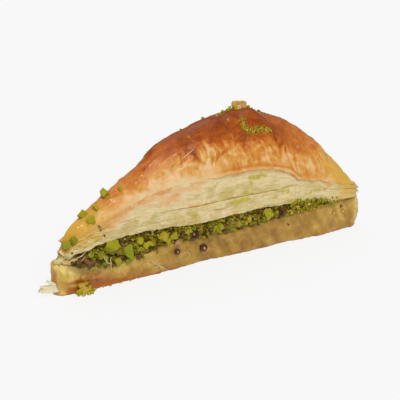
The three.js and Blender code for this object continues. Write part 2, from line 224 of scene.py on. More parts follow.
def meshPiece(name, points, faces, marks=None, weld=False, crisp=False):  # marks: a value per point, 0 to 1
    data = bpy.data.meshes.new(name)
    place = (np.asarray(points, float).reshape(-1, 3) + np.array(wedge["shift"])) / 1000
    faces = np.asarray(faces)
    corners = faces.shape[1]
    data.vertices.add(len(place))
    data.vertices.foreach_set("co", place.astype(np.float32).ravel())
    data.loops.add(faces.size)
    data.loops.foreach_set("vertex_index", faces.astype(np.int32).ravel())
    data.polygons.add(len(faces))
    data.polygons.foreach_set("loop_start", np.arange(0, faces.size, corners, dtype=np.int32))
    data.polygons.foreach_set("use_smooth", np.full(len(faces), not crisp))
    for mark, values in (marks or {}).items():
        layer = data.attributes.new(mark, "FLOAT", "POINT")
        layer.data.foreach_set("value", np.clip(np.asarray(values, np.float32), 0, 1).ravel())
    data.update(calc_edges=True)
    if weld:
        work = bmesh.new()
        work.from_mesh(data)
        bmesh.ops.remove_doubles(work, verts=work.verts, dist=weldWithin)
        bmesh.ops.dissolve_degenerate(work, edges=work.edges, dist=weldWithin / 20)
        work.to_mesh(data)
        work.free()
    data.validate()
    piece = bpy.data.objects.new(name, data)
    bpy.context.scene.collection.objects.link(piece)
    return piece


def dress(piece, material, node):  # its finish, and what it stands for in the frame
    piece.data.materials.append(material)
    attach(piece, "root")
    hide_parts(node)
    print("made", piece.name, len(piece.data.polygons), "faces")


def linear(hexColour):
    values = [int(hexColour[i:i + 2], 16) / 255 for i in (1, 3, 5)]
    return tuple(v / 12.92 if v <= 0.04045 else ((v + 0.055) / 1.055) ** 2.4 for v in values) + (1.0,)


def addNode(tree, kind, inputs=None, stops=None, **settings):  # inputs: values, hex colours, nodes or sockets
    node = tree.nodes.new("ShaderNode" + kind)
    for name, value in settings.items():
        setattr(node, name, value)
    if stops:
        ramp = node.color_ramp
        while len(ramp.elements) < len(stops):
            ramp.elements.new(0.5)
        for element, (place, colour) in zip(ramp.elements, stops):
            element.position = place
            element.color = linear(colour)
    for name, value in (inputs or {}).items():
        if isinstance(value, bpy.types.Node):
            value = next(output for output in value.outputs if output.enabled)
        if isinstance(value, bpy.types.NodeSocket):
            tree.links.new(value, node.inputs[name])
        else:
            node.inputs[name].default_value = linear(value) if isinstance(value, str) else value
    return node


def newMaterial(name):
    material = bpy.data.materials.new(name)
    material.use_nodes = True
    material.node_tree.nodes.clear()
    return material, material.node_tree


def finishMaterial(tree, settings):
    addNode(tree, "OutputMaterial", {"Surface": addNode(tree, "BsdfPrincipled", settings)})


def mottled(tree, mark, patterns, middle, stops):  # a mark of the mesh, made uneven by patterns, as a colour
    value = addNode(tree, "Attribute", attribute_name=mark).outputs["Fac"]
    for pattern, amount in patterns:
        value = addNode(tree, "Math", {0: pattern, 1: amount, 2: value}, operation="MULTIPLY_ADD")
    centred = addNode(tree, "Math", {0: value, 1: middle}, operation="SUBTRACT")
    return addNode(tree, "ValToRGB", {"Fac": centred}, stops)


def overlaid(tree, colour, overlays):  # other colours over it, each where one of the mesh's marks is high
    for mark, over in overlays:
        amount = addNode(tree, "Attribute", attribute_name=mark).outputs["Fac"]
        colour = addNode(tree, "Mix", {"Factor": amount, "A": colour, "B": over}, data_type="RGBA")
    return colour


mm = 0.001  # a pattern's scale is one over its size in metres


def crustMaterial():
    # filo leaf, baked brown and brushed with butter and syrup: a thin clear gloss over a blotchy brown
    material, tree = newMaterial("baked filo, syrup glazed")
    place = addNode(tree, "TexCoord").outputs["Object"]
    patches = addNode(tree, "TexNoise", {
        "Vector": place, "Scale": 1 / (5 * mm), "Detail": 5.0, "Roughness": 0.65})
    speckle = addNode(tree, "TexNoise", {"Vector": place, "Scale": 1 / (1.5 * mm), "Detail": 3.0})
    # the browning mark is how brown the crust is, together with painted shade in the pleats' valleys and
    # painted highlights on their crests and creases
    baked = mottled(tree, "browningAndPaintedShade", [(patches, 0.42), (speckle, 0.28)], 0.345, [
        (0.0, "#E4BE8A"), (0.16, "#DFB074"), (0.34, "#D29544"), (0.52, "#C67A2C"), (0.7, "#B45C13"),
        (0.86, "#9C4A0B"), (1.0, "#843A08")])
    cream = addNode(tree, "ValToRGB", {"Fac": patches}, [
        (0.36, "#DCCB9A"), (0.5, "#DEC08A"), (0.64, "#E2B07C")])
    colour = overlaid(tree, baked, [("golden", "#CFA038"), ("pale", cream)])
    crinkle = addNode(tree, "TexNoise", {
        "Vector": place, "Scale": 1 / (1.6 * mm), "Detail": 5.0, "Distortion": 0.8})
    soft = addNode(tree, "Bump", {"Height": crinkle, "Strength": 0.5, "Distance": 0.3 * mm})
    crease = addNode(tree, "TexNoise", {"Vector": place, "Scale": 1 / (4 * mm), "Detail": 3.0},
                     noise_type="RIDGED_MULTIFRACTAL", normalize=True)
    bump = addNode(tree, "Bump", {"Height": crease, "Strength": 0.5, "Distance": 0.35 * mm, "Normal": soft})
    finishMaterial(tree, {
        "Base Color": colour, "Normal": bump, "Roughness": 0.5, "IOR": 1.45, "Specular IOR Level": 0.15,
        "Subsurface Weight": 0.1, "Subsurface Radius": (1.0, 0.45, 0.2), "Subsurface Scale": 0.8 * mm,
        "Coat Weight": 0.3, "Coat Roughness": 0.07, "Coat IOR": 1.42})
    return material


def leafMaterial():
    # filo leaves inside the slice, steamed rather than browned: pale, soft and a little see-through
    material, tree = newMaterial("filo leaves, buttered and steamed")
    place = addNode(tree, "TexCoord").outputs["Object"]
    clouds = addNode(tree, "TexNoise", {
        "Vector": place, "Scale": 1 / (5 * mm), "Detail": 4.0, "Roughness": 0.6})
    finer = addNode(tree, "TexNoise", {"Vector": place, "Scale": 1 / (1.4 * mm), "Detail": 3.0})
    tint = mottled(tree, "warmth", [(clouds, 0.8), (finer, 0.3)], 0.53, [
        (0.0, "#C6B06C"), (0.25, "#D3C08A"), (0.45, "#DECD9E"), (0.62, "#DEC08A"), (0.8, "#E0B482"),
        (1.0, "#D49C5E")])
    # groove lays painted shade into the grooves, cracks and thin lines between the leaves
    colour = overlaid(tree, tint, [("stain", "#B4A81E"), ("golden", "#D2A648"), ("groove", "#A07C3A")])
    grain = addNode(tree, "TexNoise", {"Vector": place, "Scale": 1 / (0.9 * mm), "Detail": 4.0})
    bump = addNode(tree, "Bump", {"Height": grain, "Strength": 0.3, "Distance": 0.2 * mm})
    finishMaterial(tree, {
        "Base Color": colour, "Normal": bump, "Roughness": 0.5, "IOR": 1.42, "Specular IOR Level": 0.25,
        "Subsurface Weight": 0.35, "Subsurface Radius": (1.0, 0.75, 0.4), "Subsurface Scale": 1.2 * mm,
        "Coat Weight": 0.15, "Coat Roughness": 0.25})
    return material


def baseMaterial():
    # filo soaked through with syrup: waxy, see-through ochre, toasted where it met the tray
    material, tree = newMaterial("filo leaves, soaked in syrup")
    place = addNode(tree, "TexCoord").outputs["Object"]
    clouds = addNode(tree, "TexNoise", {
        "Vector": place, "Scale": 1 / (3 * mm), "Detail": 5.0, "Roughness": 0.62})
    # tone also carries thin painted glints
    tint = mottled(tree, "tone", [(clouds, 0.4)], 0.2, [
        (0.0, "#86621A"), (0.25, "#A67C28"), (0.5, "#BA943E"), (0.75, "#CFAF4E"), (1.0, "#E6CC7C")])
    colour = overlaid(tree, tint, [("toast", "#A45A0A"), ("smear", "#84701E")])
    grain = addNode(tree, "TexNoise", {"Vector": place, "Scale": 1 / (1.3 * mm), "Detail": 4.0})
    bump = addNode(tree, "Bump", {"Height": grain, "Strength": 0.5, "Distance": 0.3 * mm})
    finishMaterial(tree, {
        "Base Color": colour, "Normal": bump, "Roughness": 0.38, "IOR": 1.45, "Specular IOR Level": 0.3,
        "Subsurface Weight": 0.35, "Subsurface Radius": (1.0, 0.7, 0.3), "Subsurface Scale": 1.4 * mm,
        "Coat Weight": 0.3, "Coat Roughness": 0.14})
    return material


def nutMaterial():
    # chopped pistachio: waxy cut flesh from olive to yellow, bruised brown in places
    material, tree = newMaterial("pistachio, chopped")
    place = addNode(tree, "TexCoord").outputs["Object"]
    mottle = addNode(tree, "TexNoise", {
        "Vector": place, "Scale": 1 / (1.6 * mm), "Detail": 4.0, "Roughness": 0.6})
    flesh = mottled(tree, "tone", [(mottle, 0.5)], 0.25, [
        (0.0, "#523A12"), (0.18, "#725818"), (0.36, "#867612"), (0.55, "#94880E"), (0.75, "#A29410"),
        (0.9, "#B09A22"), (1.0, "#CAA646")])
    colour = overlaid(tree, flesh, [("fresh", "#7A960C")])
    bump = addNode(tree, "Bump", {"Height": mottle, "Strength": 0.5, "Distance": 0.3 * mm})
    finishMaterial(tree, {
        "Base Color": colour, "Normal": bump, "Roughness": 0.5, "IOR": 1.46, "Specular IOR Level": 0.2,
        "Subsurface Weight": 0.15, "Subsurface Radius": (0.8, 1.0, 0.2), "Subsurface Scale": 0.8 * mm,
        "Coat Weight": 0.12, "Coat Roughness": 0.25})
    return material


def skinMaterial():
    # thin dried skin of the nut: dull brown to purple with paler wrinkles
    material, tree = newMaterial("pistachio skin, dried")
    place = addNode(tree, "TexCoord").outputs["Object"]
    mottle = addNode(tree, "TexNoise", {"Vector": place, "Scale": 1 / (0.9 * mm), "Detail": 4.0})
    colour = mottled(tree, "tone", [(mottle, 0.5)], 0.25, [
        (0.0, "#46290A"), (0.22, "#7C5620"), (0.36, "#5A3418"), (0.5, "#47281E"), (0.72, "#74483C"),
        (1.0, "#B98662")])
    bump = addNode(tree, "Bump", {"Height": mottle, "Strength": 0.5, "Distance": 0.2 * mm})
    finishMaterial(tree, {
        "Base Color": colour, "Normal": bump, "Roughness": 0.4, "IOR": 1.45, "Specular IOR Level": 0.3,
        "Coat Weight": 0.2, "Coat Roughness": 0.25})
    return material


def pasteMaterial():
    # ground nut packed with syrup between the pieces, rough and moist: its dark brown is partly the moist nut
    # and partly painted shade for the gaps between the pieces
    material, tree = newMaterial("pistachio, ground and moist")
    place = addNode(tree, "TexCoord").outputs["Object"]
    mottle = addNode(tree, "TexNoise", {
        "Vector": place, "Scale": 1 / (1.1 * mm), "Detail": 4.0, "Roughness": 0.65})
    colour = addNode(tree, "ValToRGB", {"Fac": mottle}, [
        (0.3, "#3A280E"), (0.5, "#604A14"), (0.7, "#84701E")])
    bump = addNode(tree, "Bump", {"Height": mottle, "Strength": 0.6, "Distance": 0.4 * mm})
    finishMaterial(tree, {
        "Base Color": colour, "Normal": bump, "Roughness": 0.55, "IOR": 1.45, "Specular IOR Level": 0.25})
    return material


def flakeMaterial():
    # one torn filo leaf, dry and thin: light comes through it
    material, tree = newMaterial("filo flake, dry")
    place = addNode(tree, "TexCoord").outputs["Object"]
    clouds = addNode(tree, "TexNoise", {"Vector": place, "Scale": 1 / (1.5 * mm), "Detail": 4.0})
    colour = mottled(tree, "tone", [(clouds, 0.5)], 0.25, [
        (0.0, "#E2D8BC"), (0.35, "#D8C48C"), (0.65, "#C69A4C"), (1.0, "#A0702A")])
    bump = addNode(tree, "Bump", {"Height": clouds, "Strength": 0.5, "Distance": 0.3 * mm})
    finishMaterial(tree, {
        "Base Color": colour, "Normal": bump, "Roughness": 0.5, "IOR": 1.4, "Specular IOR Level": 0.3,
        "Subsurface Weight": 0.4, "Subsurface Radius": (1.0, 0.8, 0.5), "Subsurface Scale": 0.6 * mm})
    return material


crustFinish = crustMaterial()
leafFinish = leafMaterial()
baseFinish = baseMaterial()
nutFinish = nutMaterial()
skinFinish = skinMaterial()
pasteFinish = pasteMaterial()
flakeFinish = flakeMaterial()
print("materials ready")

base = {
    "samples": 1200,
    "rows": 36,
    "reach": 1.8,  # how far it stands out at the rim
    "inside": 4.0,  # its bottom and top close from this far inside the cut
    "phase": 0.4,
    "strata": 0.12,  # depth of the lines between the leaves
    "lumps": 0.35,
    "dents": 0.22,
    "fray": 0.3,  # raggedness of its lowest edge
    "lift": 0.4,  # and how far that edge stands off the table in places
    "sag": 0.8,  # unevenness of its top edge
    "edge": 0.6,  # rounding of its top and bottom edges
}


def makeBase():
    plan = Plan(base["samples"], 0, wedge["length"] + base["reach"])
    side = waviness(plan, base["phase"])
    top = slabTop(plan.x)
    edgeLine = flatMap(plan.girth)
    sag = base["sag"] * layered(edgeLine, 5, 3, 5) * smooth(2, 8, plan.x)
    lift = base["lift"] * np.maximum(layered(edgeLine, 5, 3, 8), 0)
    rings = [plan.centreLine(0), plan.ring(side - base["inside"], 0)]
    for share in np.concatenate([[0.0], np.linspace(0.03, 0.97, base["rows"]), [1.0]]):
        level = flatMap(plan.girth, share * 9)
        out = side + layered(level, (8, 4, 5), 3, 3) * base["lumps"]
        out += noise(level, (26, 0.6, 5), 9) * base["strata"]
        out += base["dents"] * layered(level, (2.4, 1.8, 5), 2, 14)
        out += base["fray"] * noise(level, (1.8, 2, 2), 21) * smooth(0.14, 0.0, share)
        out -= base["edge"] * (smooth(0.1, 0.0, share) + smooth(0.9, 1.0, share)) ** 2
        sunk = np.maximum(sag * smooth(0.6, 1.0, share), -0.1)
        rings.append(plan.ring(out, top * share - sunk + lift * smooth(0.06, 0.0, share)))
    rings.append(plan.ring(side - base["inside"], top - 0.1))
    rings.append(plan.centreLine(slabTop(plan.centre) - 0.1))
    points = np.array(rings)
    share = np.clip(points[..., 2] / slabTop(points[..., 0]), 0, 1)
    x = points[..., 0]
    ragged = layered(points, (7, 7, 3), 3, 31)
    # toasted where it met the tray, and in patches towards the tip
    toastLine = 0.1 + 0.32 * smooth(52, 18, x) + 0.2 * ragged
    patches = smooth(0.05, 0.5, layered(points, (4, 4, 2.6), 3, 33))
    toast = smooth(0.0, 0.2, toastLine - share) * (0.55 + 0.45 * smooth(60, 34, x)) * smooth(1, 5, x)
    toast += 0.7 * patches * within(x, 0, 7, 24, 36) * smooth(0.9, 0.5, share)
    toast += 0.36 * within(x, 0, 9, 13, 24) * smooth(1.0, 0.5, share + 0.4 * ragged)
    toast += 0.6 * smooth(1.6, 0.2, x) * smooth(0.95, 0.5, share)
    toast += 0.5 * smooth(0.07, 0.03, share + 0.03 * ragged) * smooth(40, 60, x)
    # lighter at the tip and the rim, with soft streaks where syrup has run down and thin painted glints
    tone = 0.3 + 0.38 * smooth(14, 0, x) + 0.24 * smooth(50, 26, x) * smooth(0.35, 0.6, share)
    tone -= 0.12 * within(x, 48, 60, 82, 104) - 0.28 * smooth(120, 124.5, x)
    tone += 0.16 * layered(points, (6, 6, 4), 3, 41)
    tone += 0.3 * layered(points, (1.6, 1.6, 5), 3, 42) * smooth(22, 8, x)
    leaning = flatMap(plan.girth + 0.5 * points[..., 2], points[..., 2])
    # the sharp ridged term is a painted glint
    tone += 0.22 * layered(leaning, (3.2, 15, 5), 3, 44) + 0.16 * ridged(leaning, (7, 5, 5), 45) ** 14
    # ground nut rubbed along its top edge
    smearFrom = 0.88 - 0.3 * within(x, 2, 7, 13, 24)
    smear = smooth(0.0, 0.16, share - smearFrom + 0.1 * layered(points, (5, 5, 3), 3, 46))
    smear *= smooth(1, 6, x) * (0.6 + 0.4 * smooth(14, 24, x))
    marks = {"toast": toast, "tone": tone, "smear": smear}
    piece = meshPiece("soakedBase", points, ringFaces(len(rings), len(plan.x)), marks, weld=True)
    dress(piece, baseFinish, "base_pastry")


makeBase()

leaves = {
    "samples": 1200,
    "start": 1.6,
    "slant": 1.6,  # at the tip the top leans back this far
    "slantEnd": 14.0,
    "phase": 2.1,
    "inside": 3.5,  # each band closes from this far inside the cut
    "hang": 1.1,  # near the tip the lowest leaf hangs lower
    "uneven": 0.16,  # how unevenly the leaves stand out
    "profile": [  # one leaf from its lower to its upper edge: [share of its thickness, how far in, how dark the painted shade in its groove is]
        (0.0, 1.0, 1.0), (0.12, 0.3, 0.2), (0.35, 0.0, 0.0), (0.6, -0.05, 0.0), (0.8, 0.0, 0.0),
        (0.94, 0.3, 0.15)],
    # out: how far the band stands out, with closeTo added towards the tip. wander: how uneven its leaves are.
    # torn: more or fewer torn streaks. gape: how far its top edge stands back from gapeFrom to gapeTo.
    "lower": {
        "leaves": 6, "out": 0.35, "groove": 0.08, "wander": 0.7, "torn": 0.2, "closeTo": -0.2,
        "gape": 0.8, "gapeFrom": 46, "gapeTo": 59},
    "upper": {
        "leaves": 8, "out": -0.1, "groove": 0.06, "wander": 0.9, "torn": -0.35, "closeTo": 0.14,
        "gape": 0.9, "gapeFrom": 60, "gapeTo": 92},
    "stains": [  # ground pistachio smeared on the cut: [from the tip, height, half length, half height]
        (77.1, 29.7, 3.4, 1.2), (75.0, 27.4, 0.9, 1.2), (72.9, 23.9, 2.4, 0.6), (70.2, 21.7, 5, 1.2),
        (87.3, 22.2, 2.4, 0.6), (85.0, 20.6, 1.2, 0.8), (90.8, 21.3, 0.8, 0.8), (107.1, 18.8, 2.6, 0.5),
        (51.6, 19.4, 1.4, 0.9), (94.6, 17.2, 3.2, 0.9), (101.0, 18.6, 2.0, 0.5), (98.2, 16.4, 2.2, 0.6),
        (14.5, 18.6, 1.5, 0.9), (9.0, 18.2, 1.6, 1.2)],
}


def crownPlan(samples):
    return Plan(samples, leaves["start"], wedge["length"] + wedge["crownReach"])


def lean(x):
    return leaves["slant"] * smooth(leaves["slantEnd"], leaves["start"], x)


def bandSplit(x, y):
    low = underside(x)
    return np.clip((heights["bandTop"] - low) / (crustEdge(x, y) - low), *heights["bandShares"])


def stainMark(points):
    x, y, z = points[..., 0], points[..., 1], points[..., 2]
    ragged = 0.9 * layered(points, 1.5, 3, 77)
    mark = np.zeros(x.shape)
    for s, height, length, tall in leaves["stains"]:
        near = np.sqrt(((x - s) / length) ** 2 + ((z - height) / tall) ** 2)
        far = np.sqrt(((x - 0.9 * (122 - s)) / length) ** 2 + ((z - 0.85 * height) / tall) ** 2)
        mark = np.maximum(mark, smooth(1.4, 0.2, np.where(y < 0, near, far) + ragged) * (y != 0))
    return 0.85 * mark


def patchyLines(flat, size, sharpness, seed, patches, limits, more=0.0):  # thin lines that come and go
    return ridged(flat, size, seed) ** sharpness * smooth(*limits, noise(flat, patches, seed + 1) + more)


def makeBand(name, low, high, band, seed, closeLow, closeHigh):
    plan = crownPlan(leaves["samples"])
    side = waviness(plan, leaves["phase"])
    edge = crustEdge(plan.x, plan.y)
    overBed = smooth(7, 2.5, plan.x) + smooth(105, 113, plan.x)  # at tip and rim they hang down to the base
    bottom = underside(plan.x) - (bedHeight(plan.x) + 0.2) * overBed
    bottom = bottom - leaves["hang"] * within(plan.x, 4, 7, 11, 16)
    count = band["leaves"]
    merged = smooth(60, 42, plan.x)  # towards the tip the crust lies close on the leaves
    line = lambda k: flatMap(plan.girth, k * 40.0)
    cuts = []
    for k in range(count + 1):
        wander = band["wander"] * layered(line(k), 14, 3, seed) if 0 < k < count else 0
        cuts.append(low + (high - low) * (k + wander) / count)
    cuts = np.maximum.accumulate(np.array([np.broadcast_to(c, plan.x.shape) for c in cuts]))
    cuts = np.minimum(cuts, cuts[-1])
    rings, marks = [], []

    def addRing(share, out, groove):
        sag = 0.4 * layered(line(9), 6, 3, seed + 30) * smooth(0.12, 0.0, share - low)
        sag = sag + 0.3 * noise(line(11), 1.6, seed + 34) * smooth(0.06, 0.0, share)
        rings.append(plan.ring(side + out - lean(plan.x) * share, bottom + share * (edge - bottom) + sag))
        marks.append(np.broadcast_to(groove, plan.x.shape))

    rings.append(plan.centreLine(underside(plan.centre) + closeLow))
    marks.append(np.zeros_like(plan.x))
    addRing(cuts[0], -leaves["inside"], 1.0)
    frayed = 1 + 1.4 * smooth(30, 8, plan.x)
    out = band["out"] + band["closeTo"] * merged
    for k in range(count):
        topmost = name == "upperLeaves" and k == count - 1
        loose = leaves["uneven"] * frayed * (1 - merged * topmost)
        jut = out + loose * layered(line(k + 0.5), 9, 3, seed + 50)
        cracked = 0.8 * smooth(0.25, 0.8, layered(line(k), 8, 3, seed + 90) + 0.15 * smooth(45, 15, plan.x))
        if k == 0:
            cracked = np.maximum(cracked, 0.45 - 0.3 * merged)
        deep = band["groove"] * (0.15 + 3 * cracked)
        # each leaf's set-in lower edge gets painted shade, more where it is cracked
        for t, inward, mark in leaves["profile"]:
            addRing(cuts[k] + (cuts[k + 1] - cuts[k]) * t, jut - deep * inward, mark * cracked)
    gapeFrom, gapeTo = band["gapeFrom"], band["gapeTo"]
    opened = within(plan.x, gapeFrom - 4, gapeFrom + 4, gapeTo - 4, gapeTo + 4)
    gape = band["gape"] * (0.1 + 0.9 * opened)
    gape = gape * smooth(-0.5, 0.1, layered(line(20), 8, 3, seed + 95) + opened - 0.4)
    # painted shade in the gap where the band's top edge stands back
    addRing(cuts[count], out - 0.1 - 0.5 * gape, 0.5 * gape)
    addRing(cuts[count], -leaves["inside"], 1.0)
    rings.append(plan.centreLine(closeHigh(plan.centre)))
    marks.append(np.zeros_like(plan.x))
    points = np.array(rings)
    x = points[..., 0]
    girth = np.broadcast_to(plan.girth, points.shape[:2])
    flat = flatMap(girth, points[..., 2] + 0.7 * layered(flatMap(girth), 7, 3, seed + 6))
    # streaks along the leaves, in the surface as well as in the colour
    streaks = layered(flat, (7, 1.2, 5), 2, seed + 7)
    tornMore = band["torn"] + 0.15 * smooth(60, 20, x)
    torn = patchyLines(flat, (5.5, 1.3, 5), 12, seed + 71, (6, 2.5, 5), (0.1, 0.6), tornMore)
    shine = ridged(flat, (4, 1.6, 5), seed + 73) ** 8
    rough = 0.25 * layered(points, (6, 6, 4), 3, seed + 5) + 0.08 * noise(points, 0.9, seed + 8)
    rough += (0.1 * streaks - 0.16 * torn + 0.12 * shine) * frayed
    height = (points[..., 2] - bottom[None]) / np.maximum(edge - bottom, 1)[None]
    rough *= 1 - merged[None] * smooth(0.7, 0.97, height)
    points[1:-1, :, :2] += plan.normal[None] * rough[1:-1, :, None]
    # warmer higher up and towards tip and rim
    warmth = 0.3 + 0.26 * smooth(0.6, 1.0, height) + 0.4 * smooth(62, 40, x) * smooth(0.25, 0.75, height)
    warmth -= 0.08 * smooth(0.3, 0.0, height) * smooth(30, 60, x)
    warmth += 0.24 * smooth(102, 114, x + 5 * streaks)
    patchy = 0.4 - 0.18 * smooth(66, 84, x)
    # paler along the shine lines: a painted highlight
    warmth += patchy * layered(points, (6, 6, 4), 3, seed + 11) + 0.1 * streaks - 0.2 * shine
    thin = patchyLines(flat, (10, 0.8, 5), 18, seed + 75, (5, 3, 5), (0.0, 0.5), 0.5 * band["torn"])
    dashes = patchyLines(flat, (4.5, 0.8, 5), 9, seed + 78, (5, 2.5, 5), (0.0, 0.4))
    dashes = dashes * smooth(62, 44, x) * smooth(0.75, 0.4, height)
    # painted shade along the torn lines, thin lines and dashes between the leaves
    groove = np.maximum(np.array(marks) * 0.5, torn * (0.25 + 0.2 * smooth(60, 20, x)))
    groove = np.maximum(groove, np.maximum((0.45 + 0.25 * smooth(50, 66, x)) * thin, 0.5 * dashes))
    # ground nut along the lowest leaves, and yellow near the tip
    smear = 0.7 * smooth(0.0, 0.7, layered(points, (4, 4, 2), 3, 79) + 0.5)
    smear = smear * smooth(2.6, 0.6, points[..., 2] - bottom[None]) * smooth(124, 119, x)
    smear = np.maximum(smear, 0.3 * smooth(106, 118, x)) * smooth(100, 110, x)
    yellowed = 0.45 * smooth(20, 8, x) * smooth(-0.4, 0.4, layered(points, (4, 4, 3), 3, 81))
    stain = np.maximum(np.maximum(stainMark(points), smear), yellowed)
    blotched = 0.4 * layered(points, (4, 4, 3), 3, 83)
    golden = 0.9 * smooth(30, 10, x) * smooth(0.2, 0.75, height + blotched)
    golden = np.maximum(golden, 0.75 * smooth(112, 121, x + 8 * blotched) * smooth(-0.2, 0.6, height))
    marks = {"warmth": warmth, "groove": groove, "stain": stain, "golden": golden}
    piece = meshPiece(name, points, ringFaces(len(rings), len(plan.x)), marks, weld=True)
    dress(piece, leafFinish, "upper_pastry")


def makeLeaves():
    plan = crownPlan(leaves["samples"])
    split = bandSplit(plan.x, plan.y)
    inside = lambda share: lambda s: underside(s) + share * (farCrust(s) - underside(s))
    apart = within(plan.x, 42, 50, 90, 100)  # elsewhere the two bands lie against each other
    apart *= 0.7 + 0.3 * within(plan.x, 46, 49, 58, 62)
    upperFrom = split - 0.012 + 0.026 * apart
    makeBand("lowerLeaves", 0.0, split, leaves["lower"], 100, 0.0, inside(0.4))
    makeBand("upperLeaves", upperFrom, np.full_like(split, 0.985), leaves["upper"], 200, 1.0, inside(0.9))


makeLeaves()

crust = {
    "samples": 1060,
    "rows": 90,
    "crowding": 1.35,  # the rows lie closer together near its edge
    "lip": 0.65,
    "lipFrom": (56.0, 68.0),  # the crust stands free of the leaves between these two
    "lipTo": (94.0, 106.0),
    "lipElsewhere": 0.25,
    "blisters": [  # [x, y, radius, height]
        (36.8, -3.2, 1.0, 0.3), (62.0, -8.1, 1.0, 0.6), (54.3, -9.2, 1.2, 0.4), (58.7, -8.7, 0.8, 0.4),
        (99.3, -14.8, 1.0, 0.4), (30.5, 3.5, 1.0, 0.4), (70.0, 9.5, 1.1, 0.5), (92.0, 8.0, 1.0, 0.4)],
    "lighter": [  # places where a thin leaf has lifted and stayed lighter: [x, y, radius, how much]
        (59.7, -10.3, 3.4, 0.26), (41.4, -7.2, 3.6, 0.22), (46.5, -8.6, 3.0, 0.14)],
    "edgeWave": 0.45,  # unevenness of its lower edge
    "roundness": 0.8,
    "rimFlattening": 0.5,
    "swell": 0.15,  # height of the soft swellings on the crown
    "scallop": 0.1,  # how far the puffed part's pleats swing in and out at the edge
    "pleatWidth": 2.7,
    "pleatLength": 12.0,
    "pleatDepth": 0.85,
    "tuck": 0.25,  # depth of the folds just above its edge
    "bubbles": 0.4,
    "creases": 0.13,
    "folds": 0.16,  # height of the leaf edges that run along the ridge
    "ledge": 0.22,  # the topmost leaf ends in a low step above the pleats
    "topStep": 1.0,  # and at its tip end in a higher one
    "bead": 0.3,  # the crust's lowest leaf stands out as a thin line
    "brownFrom": [  # where the brown of the top begins: [share of the length, share of the way to the ridge]
        (.16, 1.0), (.22, .92), (.28, .74), (.33, .61), (.4, .67), (.49, .73), (.56, .6), (.63, .58),
        (.7, .61), (.78, .58), (.86, .66), (1, .8)],
    "browningAndPaintedShade": [(0, .26), (.3, .32), (.6, .4), (.85, .58), (1.05, .82), (1.3, .93), (3, .98)],
    "skirt": [(0.94, -4.0), (0.96, -0.6)],  # how it closes underneath: [share of the height, how far out]
}

brownLine = stationCurve(crust["brownFrom"])


def lipShare(plan):
    free = smooth(*crust["lipFrom"], plan.x) * smooth(*crust["lipTo"][::-1], plan.x)
    close = crust["lipElsewhere"] * smooth(50, 60, plan.x)
    return close + (1 - close) * free


def crownRow(plan, inward):  # one ring of the dome, from the crust's edge (0) to the ridge (1)
    r = 1 - inward
    settle = 1 - smooth(0, 0.4, inward)
    along = plan.x / wedge["length"]
    puffed = smooth(0.25, 0.42, along) * (1 - 0.6 * smooth(0.85, 1, along))
    turn = 2 * math.pi * plan.girth / plan.total
    wave = np.sin(41 * turn) + 0.7 * np.sin(27 * turn + 1.1)
    lip = waviness(plan, leaves["phase"]) + crust["lip"] * lipShare(plan) - lean(plan.x)
    out = lip * r + crust["scallop"] * (0.1 + 0.9 * puffed) * wave * settle
    x = plan.spine * inward + plan.x * r + plan.normal[:, 0] * out
    y = plan.y * r + plan.normal[:, 1] * out
    edge = crustEdge(plan.x, plan.y)
    roundness = crust["roundness"] + crust["rimFlattening"] * smooth(0.9, 1, along)
    rise = np.maximum(1 - r * r, 0) ** roundness
    swell = np.sin(0.34 * x + 0.9) * np.cos(0.41 * y + 0.05 * x) + 0.6 * np.sin(0.75 * x - 0.5 * y)
    z = edge + (ridgeHeight(plan.spine) - edge) * rise + crust["swell"] * swell * smooth(0, 0.25, inward)
    return np.column_stack([x, y, z])


def surfaceNormals(grid):
    across = np.roll(grid, -1, 1) - np.roll(grid, 1, 1)
    normal = np.cross(across, np.gradient(grid, axis=0))
    normal /= np.maximum(np.linalg.norm(normal, axis=-1, keepdims=True), 1e-9)
    normal[-1] = (0, 0, 1)
    return normal


